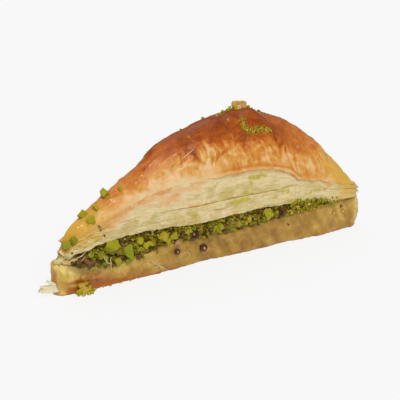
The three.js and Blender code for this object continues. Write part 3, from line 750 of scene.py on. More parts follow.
def makeCrust():
    plan = crownPlan(crust["samples"])
    inward = np.linspace(0, 1, crust["rows"]) ** crust["crowding"]
    dome = np.array([crownRow(plan, v) for v in inward])
    steps = np.linalg.norm(np.diff(dome, axis=0), axis=-1)
    climb = np.concatenate([np.zeros((1, len(plan.x))), np.cumsum(steps, 0)])  # mm up the dome from its edge
    fromRidge = climb[-1][None] - climb
    girth = np.broadcast_to(plan.girth, climb.shape)
    x = dome[..., 0]
    edge = crustEdge(plan.x, plan.y)
    share = (dome[..., 2] - edge[None]) / np.maximum(ridgeHeight(plan.spine) - edge, 1)[None]
    torn = 1 + 1.7 * smooth(60, 44, plan.x) + 1.3 * smooth(84, 96, plan.x)
    wave = crust["edgeWave"] * torn * (layered(flatMap(plan.girth), 5, 4, 300) - 0.6)
    dome[..., 2] += wave * smooth(3, 0, climb)
    line = brownLine(x)
    flank = smooth(0.2, -0.2, share - line)  # 1 below the brown top
    puffed = smooth(40, 54, x) * (1 - 0.6 * smooth(84, 102, x))
    band = smooth(0.6, 3.4, climb) * flank
    # pleats that climb the puffed flank
    flat = flatMap(girth, climb)
    bentGirth = girth + 1.8 * noise(flat, (8, 6, 5), 301) + 0.7 * noise(flat, (3, 2.6, 5), 302)
    bent = flatMap(bentGirth, climb)
    width, length = crust["pleatWidth"], crust["pleatLength"]
    uneven = 0.45 + 0.55 * smooth(-0.35, 0.3, noise(flat, (11, 8, 5), 316))
    valleys = ridged(bent, (1.5 * width, length, 5), 310) ** 6 * uneven
    crests = ridged(bent, (1.5 * width, 0.8 * length, 5), 312) ** 14 * uneven
    fine = ridged(bent, (0.8 * width, 0.5 * length, 5), 311) ** 6
    pleats = (0.2 - 0.7 * valleys - 0.3 * fine + 0.75 * crests) * band * puffed
    tucks = flatMap(girth, climb + noise(flat, (9, 5, 5), 313))
    tucked = ridged(tucks, (14, 2.6, 5), 314) ** 6 * smooth(7, 2, climb) * band * puffed
    # smaller bubbles where it isn't puffed, and slanting creases
    bubbles = layered(dome, (5, 4, 3.5), 3, 315) * flank * (1 - puffed) * smooth(0.3, 2, climb)
    slanted = flatMap(bentGirth + 1.9 * climb, climb - 0.4 * bentGirth)
    creases = ridged(slanted, (12, 3.6, 5), 320) ** 18 * smooth(2, 6, climb) * smooth(1.0, 0.75, share)
    # edges of single leaves: the ledge above the pleats, the bead along the edge, the folds along the ridge
    shifted = share - line + 0.06 * layered(flat, (14, 5, 5), 2, 321)
    ledge = smooth(0.14, 0.26, shifted) * within(x, 38, 47, 56, 72) * smooth(1, 0.7, share)
    above = within(climb, 0.9, 1.3, 1.5, 2.4)
    bead = within(climb, -0.1, 0.3, 0.7, 1.3) - 0.8 * above
    folds = layered(flatMap(girth, fromRidge), (17, 2.6, 5), 3, 361) * smooth(4, 9, climb)
    beforeStep = smooth(41.8, 40.8, x + noise(flat, 5, 362)) * smooth(33, 39, x) * smooth(7, 2.5, fromRidge)
    beforeStep = beforeStep * smooth(-2, 1, dome[..., 1])
    lumps = 0.2 * layered(dome, (16, 10, 8), 2, 330) + 0.07 * layered(dome, (3.6, 2.6, 2.6), 3, 340)
    lumps += 0.06 * ridged(dome, (4.5, 3.2, 3.2), 345) ** 9 + 0.05 * ridged(dome, (2.6, 2, 2), 346) ** 7
    lumps += crust["folds"] * folds
    relief = crust["pleatDepth"] * pleats + crust["bubbles"] * bubbles + crust["creases"] * creases
    relief -= crust["tuck"] * tucked + crust["topStep"] * beforeStep
    relief += crust["bead"] * bead * within(x, 62, 70, 94, 106) + crust["ledge"] * ledge
    fade = smooth(4, 16, girth) * smooth(4, 16, plan.total - girth)  # calmer around the tip
    relief = (relief + lumps * smooth(0, 2.5, climb)) * fade + lumps * (1 - fade) * 0.5
    relief[-1] = 0.2 * layered(dome[-1], (16, 10, 8), 2, 330)
    spots = np.zeros_like(x)
    for spotX, spotY, radius, tall in crust["blisters"]:
        around = np.exp(-((x - spotX) ** 2 + (dome[..., 1] - spotY) ** 2) / radius**2)
        relief += tall * around
        spots += 0.2 * around
    for spotX, spotY, radius, strength in crust["lighter"]:
        spots -= strength * np.exp(-((x - spotX) ** 2 + (dome[..., 1] - spotY) ** 2) / radius**2)
    normal = surfaceNormals(dome)
    dome = dome + normal * relief[..., None]
    side = waviness(plan, leaves["phase"]) - lean(plan.x)
    bottom = underside(plan.x)
    under = crust["skirt"] + [(0.985, crust["lip"] * lipShare(plan) - 0.12)]
    skirt = [plan.ring(side + out, bottom + level * (edge - bottom) + wave) for level, out in under]
    low = underside(plan.centre)
    middle = plan.centreLine(low + 0.5 * (farCrust(plan.centre) - low) + 4)
    points = np.concatenate([[middle], skirt, dome])
    # how brown: by height, with patches and fingers that reach down; painted shade and highlights that follow
    # the relief are added further on
    blotch = layered(dome, (8, 8, 6), 3, 350)
    fingers = noise(flatMap(bentGirth, 0.2 * climb), (2.4, 3, 5), 351) * puffed
    places, shades = np.array(crust["browningAndPaintedShade"], float).T
    brownAndPaintedShade = np.interp(np.maximum(share, 0) / line + 0.14 * blotch + 0.14 * fingers, places, shades)
    brownAndPaintedShade -= 0.06 * smooth(84, 96, x) * smooth(0.7, 0.3, share)
    # towards the tip the crust's edge stays as pale as the leaves
    brownAndPaintedShade -= 0.1 * within(x, 12, 20, 42, 56) * smooth(0.5, 0.0, share / line + 0.2 * blotch)
    brownAndPaintedShade = np.where(brownAndPaintedShade > 0.42, 0.42 + (brownAndPaintedShade - 0.42) * (0.32 + 0.68 * smooth(32, 60, x)), brownAndPaintedShade)
    drier = smooth(84, 102, x) * smooth(0.4, 0.7, brownAndPaintedShade) + smooth(94, 106, x) * smooth(0.6, 0.2, share)
    brownAndPaintedShade -= 0.16 * drier
    # painted shade in the relief's valleys and painted highlight on its crests
    brownAndPaintedShade += (0.34 * valleys + 0.14 * fine - 0.34 * crests - 0.05) * band * (0.3 + 0.7 * puffed)
    brownAndPaintedShade -= 0.24 * smooth(0.15, 0.6, layered(dome, (6, 6, 4), 2, 355)) * flank * (1 - 0.5 * puffed)
    wrinkled = flatMap(bentGirth + 0.8 * climb, climb - 0.25 * bentGirth + 0.6 * noise(flat, (4, 4, 5), 348))
    wrinkles = ridged(wrinkled, (9, 2.2, 5), 347) ** 14 * smooth(-0.1, 0.4, noise(flat, (6, 5, 5), 349))
    brownAndPaintedShade -= 0.16 * wrinkles * smooth(0.25, 0.5, share)
    brownAndPaintedShade += 0.09 * folds * smooth(0.4, 0.7, brownAndPaintedShade) + spots
    brownAndPaintedShade += 0.14 * layered(dome, (3, 3, 2), 2, 356) * flank * (1 - puffed) + 0.1 * smooth(92, 104, x) * flank
    # browner in the band just above the bead; lighter along the creases as a painted highlight on their
    # crests
    brownAndPaintedShade += 0.2 * above * within(x, 56, 66, 92, 104) - 0.14 * creases
    brownAndPaintedShade -= 0.12 * ledge * smooth(0.34, 0.24, shifted)
    rimEnd = smooth(105, 116, x + 6 * layered(dome, (5, 5, 4), 3, 360)) * smooth(0.75, 0.35, share)
    brownAndPaintedShade += 0.06 * within(x, 30, 38, 50, 60) * smooth(0.65, 0.85, share)
    brownAndPaintedShade += 0.12 * smooth(96, 104, x) * smooth(0.75, 0.4, share) - 0.1 * rimEnd
    golden = np.maximum(smooth(25, 11, x) * 0.85, 0.8 * rimEnd)
    bare = smooth(4.2, 0.4, climb + 2.4 * layered(dome, (5, 5, 4), 3, 370)) * within(x, 20, 34, 52, 64)
    bare += 0.14 * smooth(86, 108, x) * smooth(0.2, 0.7, share + 0.3 * blotch)  # drier towards the rim
    closing = np.zeros((len(points) - len(dome), len(plan.x)))
    # browning carries the baked brown and also the painted shade and highlights of the relief
    marks = {"browningAndPaintedShade": np.concatenate([closing + 0.3, brownAndPaintedShade]), "golden": np.concatenate([closing, golden]),
             "pale": np.concatenate([closing, 0.9 * bare])}
    piece = meshPiece("glazedCrust", points, ringFaces(len(points), len(plan.x)), marks, weld=True)
    dress(piece, crustFinish, "upper_pastry")
    return dome, normal


crownGrid, crownNormal = makeCrust()


def takeShape(work):  # points and triangles, the triangles in an order that is the same on every run
    work.verts.index_update()
    points = np.array([v.co for v in work.verts])
    faces = []
    for face in work.faces:
        corners = [v.index for v in face.verts]
        first = corners.index(min(corners))
        faces.append(corners[first:] + corners[:first])
    work.free()
    return points, np.array(sorted(faces))


def sphereGrid(level):
    work = bmesh.new()
    bmesh.ops.create_icosphere(work, subdivisions=level, radius=1)
    points, faces = takeShape(work)
    return points / np.linalg.norm(points, axis=1)[:, None], faces


ball = sphereGrid(3)


class Heap:  # gathers many small lumps into one mesh
    def __init__(self):
        self.points, self.faces, self.tones, self.greens, self.count = [], [], [], [], 0

    def add(self, shape, tone, fresh=0.0):
        points, faces = shape
        self.faces.append(faces + self.count)
        self.points.append(np.maximum(points, (-99, -99, 0.02)))  # nothing reaches into the table
        self.tones.append(np.full(len(points), tone))
        self.greens.append(np.full(len(points), fresh))
        self.count += len(points)

    def piece(self, name, material, node, slot, crisp=True):
        marks = {"tone": np.concatenate(self.tones), "fresh": np.concatenate(self.greens)}
        made = meshPiece(name, np.concatenate(self.points), np.concatenate(self.faces), marks, crisp=crisp)
        dress(made, material, node)


unevenNuts = 0.16  # how far a cut face swells and dips, as a share of the lump


def choppedShapes(count, cuts, bevel, seed):  # lumps with flat cut faces and eased edges, about 1 across
    rng = np.random.default_rng(seed)
    shapes = []
    for _ in range(count):
        work = bmesh.new()
        bmesh.ops.create_cube(work, size=0.9)
        for _ in range(cuts):
            facing = Vector(rng.normal(size=3)).normalized()
            everything = work.verts[:] + work.edges[:] + work.faces[:]
            bmesh.ops.bisect_plane(work, geom=everything, dist=1e-5, plane_no=facing, clear_outer=True,
                                   plane_co=facing * rng.uniform(0.26, 0.48))
            bmesh.ops.holes_fill(work, edges=[edge for edge in work.edges if edge.is_boundary], sides=0)
        bmesh.ops.bevel(work, geom=work.edges[:], offset=bevel, segments=1, profile=0.5, affect="EDGES",
                        clamp_overlap=True)
        bmesh.ops.triangulate(work, faces=work.faces[:])
        points, faces = takeShape(work)
        points += unevenNuts * noise(points, 0.3, seed)[:, None] * points
        shapes.append((points, faces))
    return shapes


chunks = choppedShapes(24, 6, 0.08, 61)
cubes = choppedShapes(8, 2, 0.09, 62)
grains = choppedShapes(10, 3, 0.03, 63)


def turnedBy(q):  # a rotation from four random numbers
    w, x, y, z = q / np.linalg.norm(q)
    return np.array([[1 - 2 * (y * y + z * z), 2 * (x * y - z * w), 2 * (x * z + y * w)],
                     [2 * (x * y + z * w), 1 - 2 * (x * x + z * z), 2 * (y * z - x * w)],
                     [2 * (x * z - y * w), 2 * (y * z + x * w), 1 - 2 * (x * x + y * y)]])


def chopped(rng, shapes, size, at, stretch=None):  # one of the shapes, turned anyhow
    points, faces = shapes[int(rng.integers(len(shapes)))]
    stretch = rng.uniform(0.8, 1.3, 3) if stretch is None else np.array(stretch)
    return (points * stretch * size) @ turnedBy(rng.normal(size=4)).T + at, faces


filling = {
    "seed": 5,
    "inset": 1.4,
    "samples": 900,
    "rows": 16,
    "inside": 3.0,  # the paste's bottom and top close from this far inside
    "clear": 0.02,  # and it stays this far off base and leaves
    "places": 2400,  # so many places around the outline where a piece may lie
    "placesFrom": 3.4,
    "placesPast": 4.0,  # this far past the end of the ground nut
    "sizes": [  # [distance from the tip, smallest, largest]
        (0, 1.2, 2.8), (34, 1.1, 2.8), (75, 1.0, 2.4), (92, 0.7, 1.5), (106, 0.45, 0.9), (120, 0.3, 0.6)],
    "tries": 36000,
    "crowd": 0.62,  # least distance between two pieces, as a share of their size
    "spill": 1.6,  # how far pieces hang down over the base near the tip
    "droop": 0.8,  # and here and there elsewhere
    "setBack": (-1.3, 0.5),  # how far in or out a piece lies
    "tuck": 1.7,  # the uppermost pieces lie this far back, in the shadow of the leaves
    "chunkFrom": 1.5,  # smaller pieces are grains
    "grains": 2500,
    "grainSize": (0.4, 1.0),
    "grainSetBack": (-1.6, 0.1),
    "tones": ([0.0, 0.16, 0.36, 0.58, 0.8], [0.2, 0.24, 0.26, 0.2, 0.1]),  # and how often each comes
    "grainTones": ([0.05, 0.25, 0.5, 0.8], [0.3, 0.3, 0.25, 0.15]),
    "yellowerAndPaintedLight": 0.3,  # the nuts are yellower towards the rim, and lighter there as painted light against the shade they lie in
    "skinned": 0.04,  # share of pieces that keep their skin
    "green": 0.12,  # share of pieces that are a fresher green
}


def makePaste():
    plan = Plan(filling["samples"], *heights["bedCore"], filling["inset"])
    low = slabTop(plan.x) + filling["clear"]
    high = underside(plan.x) - filling["clear"]
    rings = [plan.centreLine(slabTop(plan.centre) + filling["clear"]), plan.ring(-filling["inside"], low)]
    for share in np.linspace(0, 1, filling["rows"]):
        z = low + (high - low) * share
        rings.append(plan.ring(0.6 * layered(np.column_stack([plan.xy, z]), 2.4, 3, 400) - 0.3, z))
    rings.append(plan.ring(-filling["inside"], high))
    rings.append(plan.centreLine(underside(plan.centre) - filling["clear"]))
    piece = meshPiece("nutPaste", rings, ringFaces(len(rings), len(plan.x)), weld=True)
    dress(piece, pasteFinish, "pistachio_filling")


def makeFilling():
    rng = np.random.default_rng(filling["seed"])
    nuts, loose, skins = Heap(), Heap(), Heap()
    plan = Plan(filling["places"], filling["placesFrom"], heights["bedCore"][1] + filling["placesPast"])
    side = 0.5 * waviness(plan, 1.2)
    hang = filling["spill"] * within(plan.x, 5, 12, 28, 40) + 0.4
    hang = hang + filling["droop"] * np.maximum(noise(flatMap(plan.girth), 9, 408), 0)
    low, high = slabTop(plan.x), underside(plan.x)
    room = high - low
    places, smallest, largest = np.array(filling["sizes"], float).T
    chance = np.cumsum((room + 0.6) / np.interp(plan.x, places, smallest))
    picks = np.searchsorted(chance, rng.uniform(size=filling["tries"]) * chance[-1])
    taken = np.zeros((0, 3))
    for n, i in enumerate(np.minimum(picks, len(plan.x) - 1)):
        t = (n / filling["tries"]) ** 0.3  # the large ones go in first
        size = np.interp(plan.x[i], places, largest) * (1 - t) + np.interp(plan.x[i], places, smallest) * t
        size = min(size * rng.uniform(0.9, 1.2), room[i] * 0.85 + 0.5)
        lowest, highest = low[i] + 0.3 * size - hang[i] * rng.uniform() ** 2, high[i] - 0.36 * size
        z = rng.uniform(lowest, max(highest, lowest + 0.1))
        apart = np.hypot(taken[:, 0] - plan.girth[i], taken[:, 1] - z)
        if (apart < filling["crowd"] * 0.5 * (taken[:, 2] + size)).any():
            continue
        taken = np.vstack([taken, (plan.girth[i], z, size)])
        onBase = smooth(low[i] + 0.2 * size, low[i] - 0.4 * size, z)
        tucked = filling["tuck"] * smooth(0.55, 0.95, (z - low[i]) / max(room[i], 1))
        out = side[i] - size * 0.34 + rng.uniform(*filling["setBack"]) * (1 - onBase)
        out += 0.35 * size * onBase - tucked
        at = np.array([*(plan.xy[i] + plan.normal[i] * out), z])
        points, faces = chopped(rng, chunks if size > filling["chunkFrom"] else grains, size, at)
        points[:, 2] = np.minimum(points[:, 2], high[i] + 0.15)
        if rng.uniform() < filling["skinned"]:
            skins.add((points, faces), rng.choice([0.2, 0.5, 0.7]))
        else:
            tones, shares = filling["tones"]
            tone = rng.choice(tones, p=shares) + rng.uniform(-.08, .08)
            fresh = rng.uniform(0.2, 0.6) if rng.uniform() < filling["green"] else 0.0
            nuts.add((points, faces), tone + filling["yellowerAndPaintedLight"] * smooth(68, 98, plan.x[i]), fresh)
    print("packed", len(taken), "pieces of nut")
    chance = np.cumsum(room + 0.3)
    tones, shares = filling["grainTones"]
    for _ in range(filling["grains"]):
        i = min(int(np.searchsorted(chance, rng.uniform() * chance[-1])), len(plan.x) - 1)
        size = rng.uniform(*filling["grainSize"])
        z = low[i] + rng.uniform(0, 1) * room[i] - hang[i] * 0.6 * rng.uniform() ** 3
        at = np.array([*(plan.xy[i] + plan.normal[i] * (side[i] + rng.uniform(*filling["grainSetBack"]))), z])
        loose.add(chopped(rng, grains, size, at), rng.choice(tones, p=shares))
    nuts.piece("pistachioPieces", nutFinish, "pistachio_filling", "filling")
    loose.piece("pistachioGrains", nutFinish, "pistachio_filling", "filling")
    skins.piece("skinnedPieces", skinFinish, "pistachio_filling", "filling")


makePaste()
makeFilling()

scattered = {
    "seed": 31,
    "onCrust": [  # chopped pieces: [x, y, size, tone, fresh]
        (21.6, -0.2, 3.4, .72, .15), (17.0, -1.8, 2.4, .8, .05), (12.9, 0.5, 3.0, .8, .1),
        (13.7, -3.6, 2.8, .8, 0), (4.6, -2.3, 3.0, .5, .25), (6.9, -2.8, 2.8, .4, .25),
        (27.0, -2.1, 1.8, .9, 0), (33, 9, 2.2, .6, 0), (78.6, 1.6, 1.9, .8, .1), (77.2, 1.0, 1.5, .6, 0),
        (80.0, 0.4, 1.7, .8, .1), (76.0, 2.0, 1.2, .6, 0), (84.4, 0.9, 1.0, .7, .1),
        (85.6, -0.6, 1.2, .7, 0), (98, 7, 2.1, .6, 0), (58, 8, 2, .6, .2), (69, 5, 1.4, .4, 0),
        (88, 9, 1.8, .6, 0)],
    "ridgeGrains": 26,
    "ridgeSize": (0.35, 0.8),
    "ridgeSpans": [(40, 76), (84, 96)],
    "ridgeSpread": 2.5,
    "dustPath": [  # a line of dust down the crust: [x, y]
        (78.6, -5.2), (77.4, -7.2), (77.2, -9.0), (78.6, -10.2), (81.5, -10.4), (84.0, -10.6), (87.4, -11.0)],
    "dustGrains": 300,
    "dustSpread": 0.5,
    "dustSize": (0.2, 0.62),
    "onCut": [  # pieces standing out of the near cut: [x, height, standing out, size, tone, fresh]
        (20.1, 14.9, 0.1, 4.5, .72, .25), (21.8, 8.6, 0.9, 2.4, .62, 0), (24.2, 12.4, 0.0, 2.4, .2, 0),
        (30.9, 14.4, 0.0, 2.6, .8, 0), (35.2, 12.4, 0.0, 2.2, .7, 0), (39.4, 14.2, 0.1, 2.6, .85, 0),
        (41.2, 11.7, 0.2, 2.4, .8, .1), (43.6, 13.6, 0.1, 2.6, .8, .2), (62.9, 12.9, 0.1, 2.2, .75, .2),
        (70.4, 12.4, 0.1, 2.0, .8, 0), (74.7, 13.1, 0.1, 2.0, .75, 0), (82.4, 13.8, 0.2, 3.2, .84, .1),
        (93.2, 15.0, 0.1, 1.8, .6, .5), (15.2, 12.8, 0.0, 2.6, .3, .4), (17.0, 9.4, 0.6, 2.0, .3, .5),
        (112.4, 8.0, 0.5, 0.9, 1, 0), (108.3, 7.4, 0.4, 0.9, 1, 0), (116.7, 7.9, 0.5, 1.1, 1, 0),
        (31.5, 8.4, 0.5, 1.4, .6, 0), (37.0, 9.2, 0.4, 1.2, .4, 0)],
    "slivers": [  # slices: [x, height, standing out, length, width, thickness, angles, taper, tone, fresh]
        (26.0, 11.0, 1.0, 5.8, 2.9, 1.1, (1.45, 1.1, -0.62), .7, .5, .42),
        (23.0, 12.0, 0.4, 3.6, 1.8, 0.9, (1.2, 0.5, -0.3), .4, .3, .1),
        (33.2, 12.6, 0.4, 3.0, 1.8, 0.8, (1.3, -0.6, -0.2), .3, .8, .1),
        (83.4, 14.2, 0.5, 3.6, 2.0, 0.9, (1.4, 0.9, -0.3), .4, .85, .1)],
    "smears": [  # patches of green dust on the cut: [x, height, length, tallness, grains, standing out]
        (94.8, 16.4, 3.0, 1.1, 60, 0.5), (100.2, 15.6, 3.4, 0.7, 40, 0.4), (106.0, 14.6, 3.0, 0.8, 30, 0.4)],
    "smearSize": (0.25, 0.75),
    "skinsOnCut": [  # dried skins and skinned pieces: [x, height, standing out, size, tone]
        (45.2, 10.6, 0.4, 2.4, .95), (53.0, 11.6, 0.1, 2.4, .5), (88.9, 12.8, 0.2, 3.0, .5),
        (47.0, 13.6, 0.0, 2.2, .4), (115.9, 10.2, 0.2, 1.3, .25), (91.9, 7.6, 0.1, 1.1, .25),
        (14.2, 2.9, 0.2, 0.8, .8), (79.2, 15.6, 0.1, 1.8, .3)],
    "beads": [  # whole small nuts in their skins, in the same way
        (44.9, 7.2, 0.5, 2.2, .5), (55.4, 6.4, 0.6, 2.9, .42), (51.6, 12.4, 0.1, 1.8, .45)],
    "foot": [  # pieces at the foot of the base near the tip: [x, y, height, size, tone, fresh]
        (7.0, -5.9, 1.2, 2.6, .9, 0), (8.4, -6.3, 1.5, 2.8, 1, 0), (7.8, -5.8, 3.1, 2.3, .95, 0),
        (9.6, -6.6, 1.1, 2.3, .8, .1), (10.3, -6.1, 2.2, 1.7, .8, .1), (8.8, -6.0, 3.9, 1.7, .9, 0),
        (6.2, -5.8, 0.8, 1.6, .8, .1), (11.2, -6.4, 0.8, 1.5, .6, .2), (9.0, -7.4, 0.7, 1.4, 1, 0),
        (7.2, -7.0, 0.6, 1.2, 1, 0), (10.4, -7.4, 0.6, 1.2, .9, 0)],
    "footGrains": 16,
    "footSize": (0.4, 0.9),
    "footSpan": (6, 28),  # the grains lie from the first along so much of the cut, denser towards the tip
    "flakes": [  # torn leaf: [where, length, width, thickness, angles, bend, tone]
        ((-2.3, -0.8, 3.2), 7.6, 2.6, 0.16, (1.4, 0.15, -0.25), 0.12, .1),
        ((-1.2, -0.8, 5.0), 4.6, 1.3, 0.14, (1.5, 0.7, -0.3), 0.2, .02),
        ((0.6, -1.3, 12.3), 3.0, 1.6, 0.3, (1.45, 0.4, -1.0), 0.2, .5),
        ((1.3, -2.3, 12.9), 3.4, 1.7, 0.3, (1.4, -0.2, -0.7), 0.2, .4),
        ((3.4, -3.5, 12.5), 3.6, 1.4, 0.25, (1.4, 0.2, -0.4), 0.2, .5),
        ((5.6, -4.2, 12.9), 2.8, 1.0, 0.2, (1.4, -0.15, -0.3), 0.2, .45),
        ((2.5, -2.2, 15.7), 2.6, 1.0, 0.14, (1.5, 0.8, -0.7), 0.2, .3),
        ((82.4, 0.8, 51.7), 5.6, 3.4, 0.4, (1.35, 0.06, -0.67), 0.06, .64),
        ((81.0, 0.4, 50.8), 3.4, 2.0, 0.35, (1.1, -0.3, -0.5), 0.1, .55),
        ((122.2, -19.8, 17.8), 4.6, 1.8, 0.14, (0.9, 0.35, -0.5), 0.2, .55),
        ((124.4, -19.5, 16.4), 4.2, 1.4, 0.14, (1.4, 0.6, -0.67), 0.2, .5),
        ((125.2, -19.2, 14.2), 3.6, 1.2, 0.14, (1.4, 0.5, -0.6), 0.2, .35),
        ((119.6, -20.4, 16.4), 5.0, 1.2, 0.14, (1.4, 0.15, -0.3), 0.2, .55),
        ((126.1, -18.8, 6.7), 12.6, 3.2, 0.2, (1.5, 1.55, -0.67), 0.06, .45),
        ((126.9, -18.4, 9.2), 7.0, 1.8, 0.16, (1.5, 1.3, -0.67), 0.1, .25),
        ((123.2, 6.0, 17.2), 5.0, 3.0, 0.4, (0.3, 0.3, 0.2), 0.2, .4),
        ((118.2, -20.4, 18.6), 6.0, 1.6, 0.4, (0.9, 0.5, -0.15), 0.1, .45)],
    "curls": [  # curled skin, mostly at the tip: [x, height, standing out, length, width, angles, tone]
        (15.7, 22.8, 0.1, 2.2, 0.8, (1.5, 1.0, -0.3), .85), (17.1, 19.9, 0.1, 1.9, 0.6, (1.5, 1.2, -0.3), .7),
        (8.4, 12.6, 0.5, 4.6, 1.7, (1.2, -0.35, 0.1), .12), (10.6, 11.4, 0.9, 3.0, 1.6, (1.6, 0.7, -0.5), .2),
        (5.8, 12.0, 0.5, 4.0, 1.2, (1.0, 0.2, 0.2), .1), (8.8, 10.4, 0.8, 3.2, 1.3, (1.4, 0.25, 0.3), .15),
        (11.4, 9.8, 0.9, 2.4, 1.7, (1.5, -0.6, 0.1), .6), (7.2, 11.2, 1.0, 2.6, 1.0, (1.5, 0.9, -0.6), .05),
        (9.8, 13.2, 0.8, 2.8, 1.0, (1.4, -0.8, -0.5), .22),
        (12.6, 11.0, 0.8, 2.2, 1.2, (1.5, 0.3, -0.4), .12)],
    "shreds": [  # thin shreds of leaf on the near cut: [standing out, radius, tone, points as x and height]
        (1.5, 0.2, .35, ((16.2, 12.6), (16.5, 11.4), (17.2, 10.4), (17.4, 9.2))),
        (1.4, 0.18, .4, ((19.2, 11.6), (18.6, 10.6), (18.9, 9.4), (18.7, 8.0), (19.0, 6.8))),
        (1.2, 0.14, .4, ((17.3, 9.9), (18.0, 9.4), (18.8, 9.0))),
        (0.8, 0.2, .5, ((31.6, 7.2), (33.6, 6.6), (35.2, 5.4), (36.9, 4.1), (38.4, 2.4), (39.6, 0.9))),
        (0.9, 0.17, .45, ((34.0, 5.2), (36.4, 4.4), (37.8, 3.4), (39.0, 2.3), (40.8, 1.2))),
        (0.9, 0.16, .45, ((36.0, 5.9), (37.2, 4.4), (37.8, 2.8), (38.6, 1.2))),
        (0.8, 0.13, .4, ((35.2, 3.4), (36.6, 3.6), (38.2, 2.9), (39.4, 2.9))),
        (0.7, 0.13, .55, ((46.9, 5.2), (47.5, 6.3), (48.8, 6.4), (49.6, 5.4), (49.2, 4.1), (48.0, 3.9))),
        (0.8, 0.17, .4, ((5.6, 12.2), (6.6, 13.6), (8.6, 14.1), (10.2, 15.4))),
        (0.9, 0.13, .45, ((8.0, 12.2), (9.6, 13.5), (10.4, 13.1), (12.2, 15.2))),
        (0.3, 0.15, .35, ((5.2, 15.3), (6.4, 15.0), (7.6, 16.2), (9.2, 15.9)))],
    "fibres": [  # thin shreds lying on the crust: [radius, tone, points as x and y]
        (0.14, .35, ((44.0, -8.0), (45.5, -7.8), (46.9, -7.6))),
        (0.12, .35, ((47.1, -8.0), (48.2, -8.1), (49.4, -8.0))),
        (0.16, .4, ((49.6, -7.3), (52.3, -7.3), (54.9, -7.5))),
        (0.13, .4, ((46.7, -5.6), (47.6, -5.8), (48.2, -5.7))),
        (0.14, .35, ((42.2, -7.4), (42.6, -7.2), (43.4, -7.0))),
        (0.12, .3, ((37.2, -7.6), (38.4, -7.2), (39.0, -6.2)))],
}


def crustSpot(x, y):  # the crust's surface over a point, and which way it faces
    away = (crownGrid[..., 0] - x) ** 2 + (crownGrid[..., 1] - y) ** 2
    k = np.unravel_index(np.argmin(away), away.shape)
    return crownGrid[k], crownNormal[k]


def cutSpot(x, z, out=0.0):  # a point of the near cut, or standing out from it
    turn = wedge["halfAngle"]
    return np.array([x - math.sin(turn) * out, -halfWidth(x) - math.cos(turn) * out, z])


def tornFlake(rng, at, length, width, thickness, angles, bend, taper=0.0):  # a thin, bent, ragged plate
    directions, faces = ball
    fray, squareness = (0.3, 0.35) if thickness < 0.4 else (0.12, 0.6)  # thick plates keep firmer corners
    flat = np.sign(directions[:, :2]) * np.abs(directions[:, :2]) ** (1 - squareness)
    thick = directions[:, 2] * thickness / 2
    around = np.arctan2(flat[:, 1], flat[:, 0])
    circle = np.column_stack([np.cos(around), np.sin(around), 0 * around])
    seed = int(rng.integers(99))
    ragged = 1 + fray * (noise(circle, 0.5, seed) + 0.85 * noise(circle, 0.2, seed + 1))
    points = np.column_stack([flat * ragged[:, None] * (length / 2, width / 2), thick])
    points[:, 1] *= 1 - taper * points[:, 0] / (length / 2)
    points[:, 2] += bend * points[:, 0] ** 2 / length
    points[:, 2] += 0.12 * width * noise(points * (1, 1, 0), 0.5 * width, int(rng.integers(99)))
    return points @ np.array(Euler(angles).to_matrix()).T + at, faces


strandSides = 6


def strand(path, radius):  # a thin shred along given points
    path = np.array(path, float)
    fine = np.linspace(0, len(path) - 1, 4 * len(path))
    path = np.column_stack([np.interp(fine, np.arange(len(path)), column) for column in path.T])
    ahead = np.gradient(path, axis=0)
    ahead /= np.linalg.norm(ahead, axis=1)[:, None]
    aside = np.cross(ahead, (0.13, 0.95, 0.1))
    aside /= np.linalg.norm(aside, axis=1)[:, None]
    other = np.cross(ahead, aside)
    angles = np.linspace(0, 2 * math.pi, strandSides + 1)[:-1]
    thick = radius * np.sin(np.linspace(0.35, math.pi - 0.35, len(path)))[:, None, None]
    circle = aside[:, None] * np.cos(angles)[:, None] + other[:, None] * np.sin(angles)[:, None]
    rings = path[:, None] + thick * circle
    quads = ringFaces(len(path), strandSides)
    last = (len(path) - 1) * strandSides
    fan = range(1, strandSides - 1)
    ends = [[0, i + 1, i] for i in fan] + [[last, last + i, last + i + 1] for i in fan]
    return rings.reshape(-1, 3), np.concatenate([quads[:, [0, 1, 2]], quads[:, [0, 2, 3]], ends])


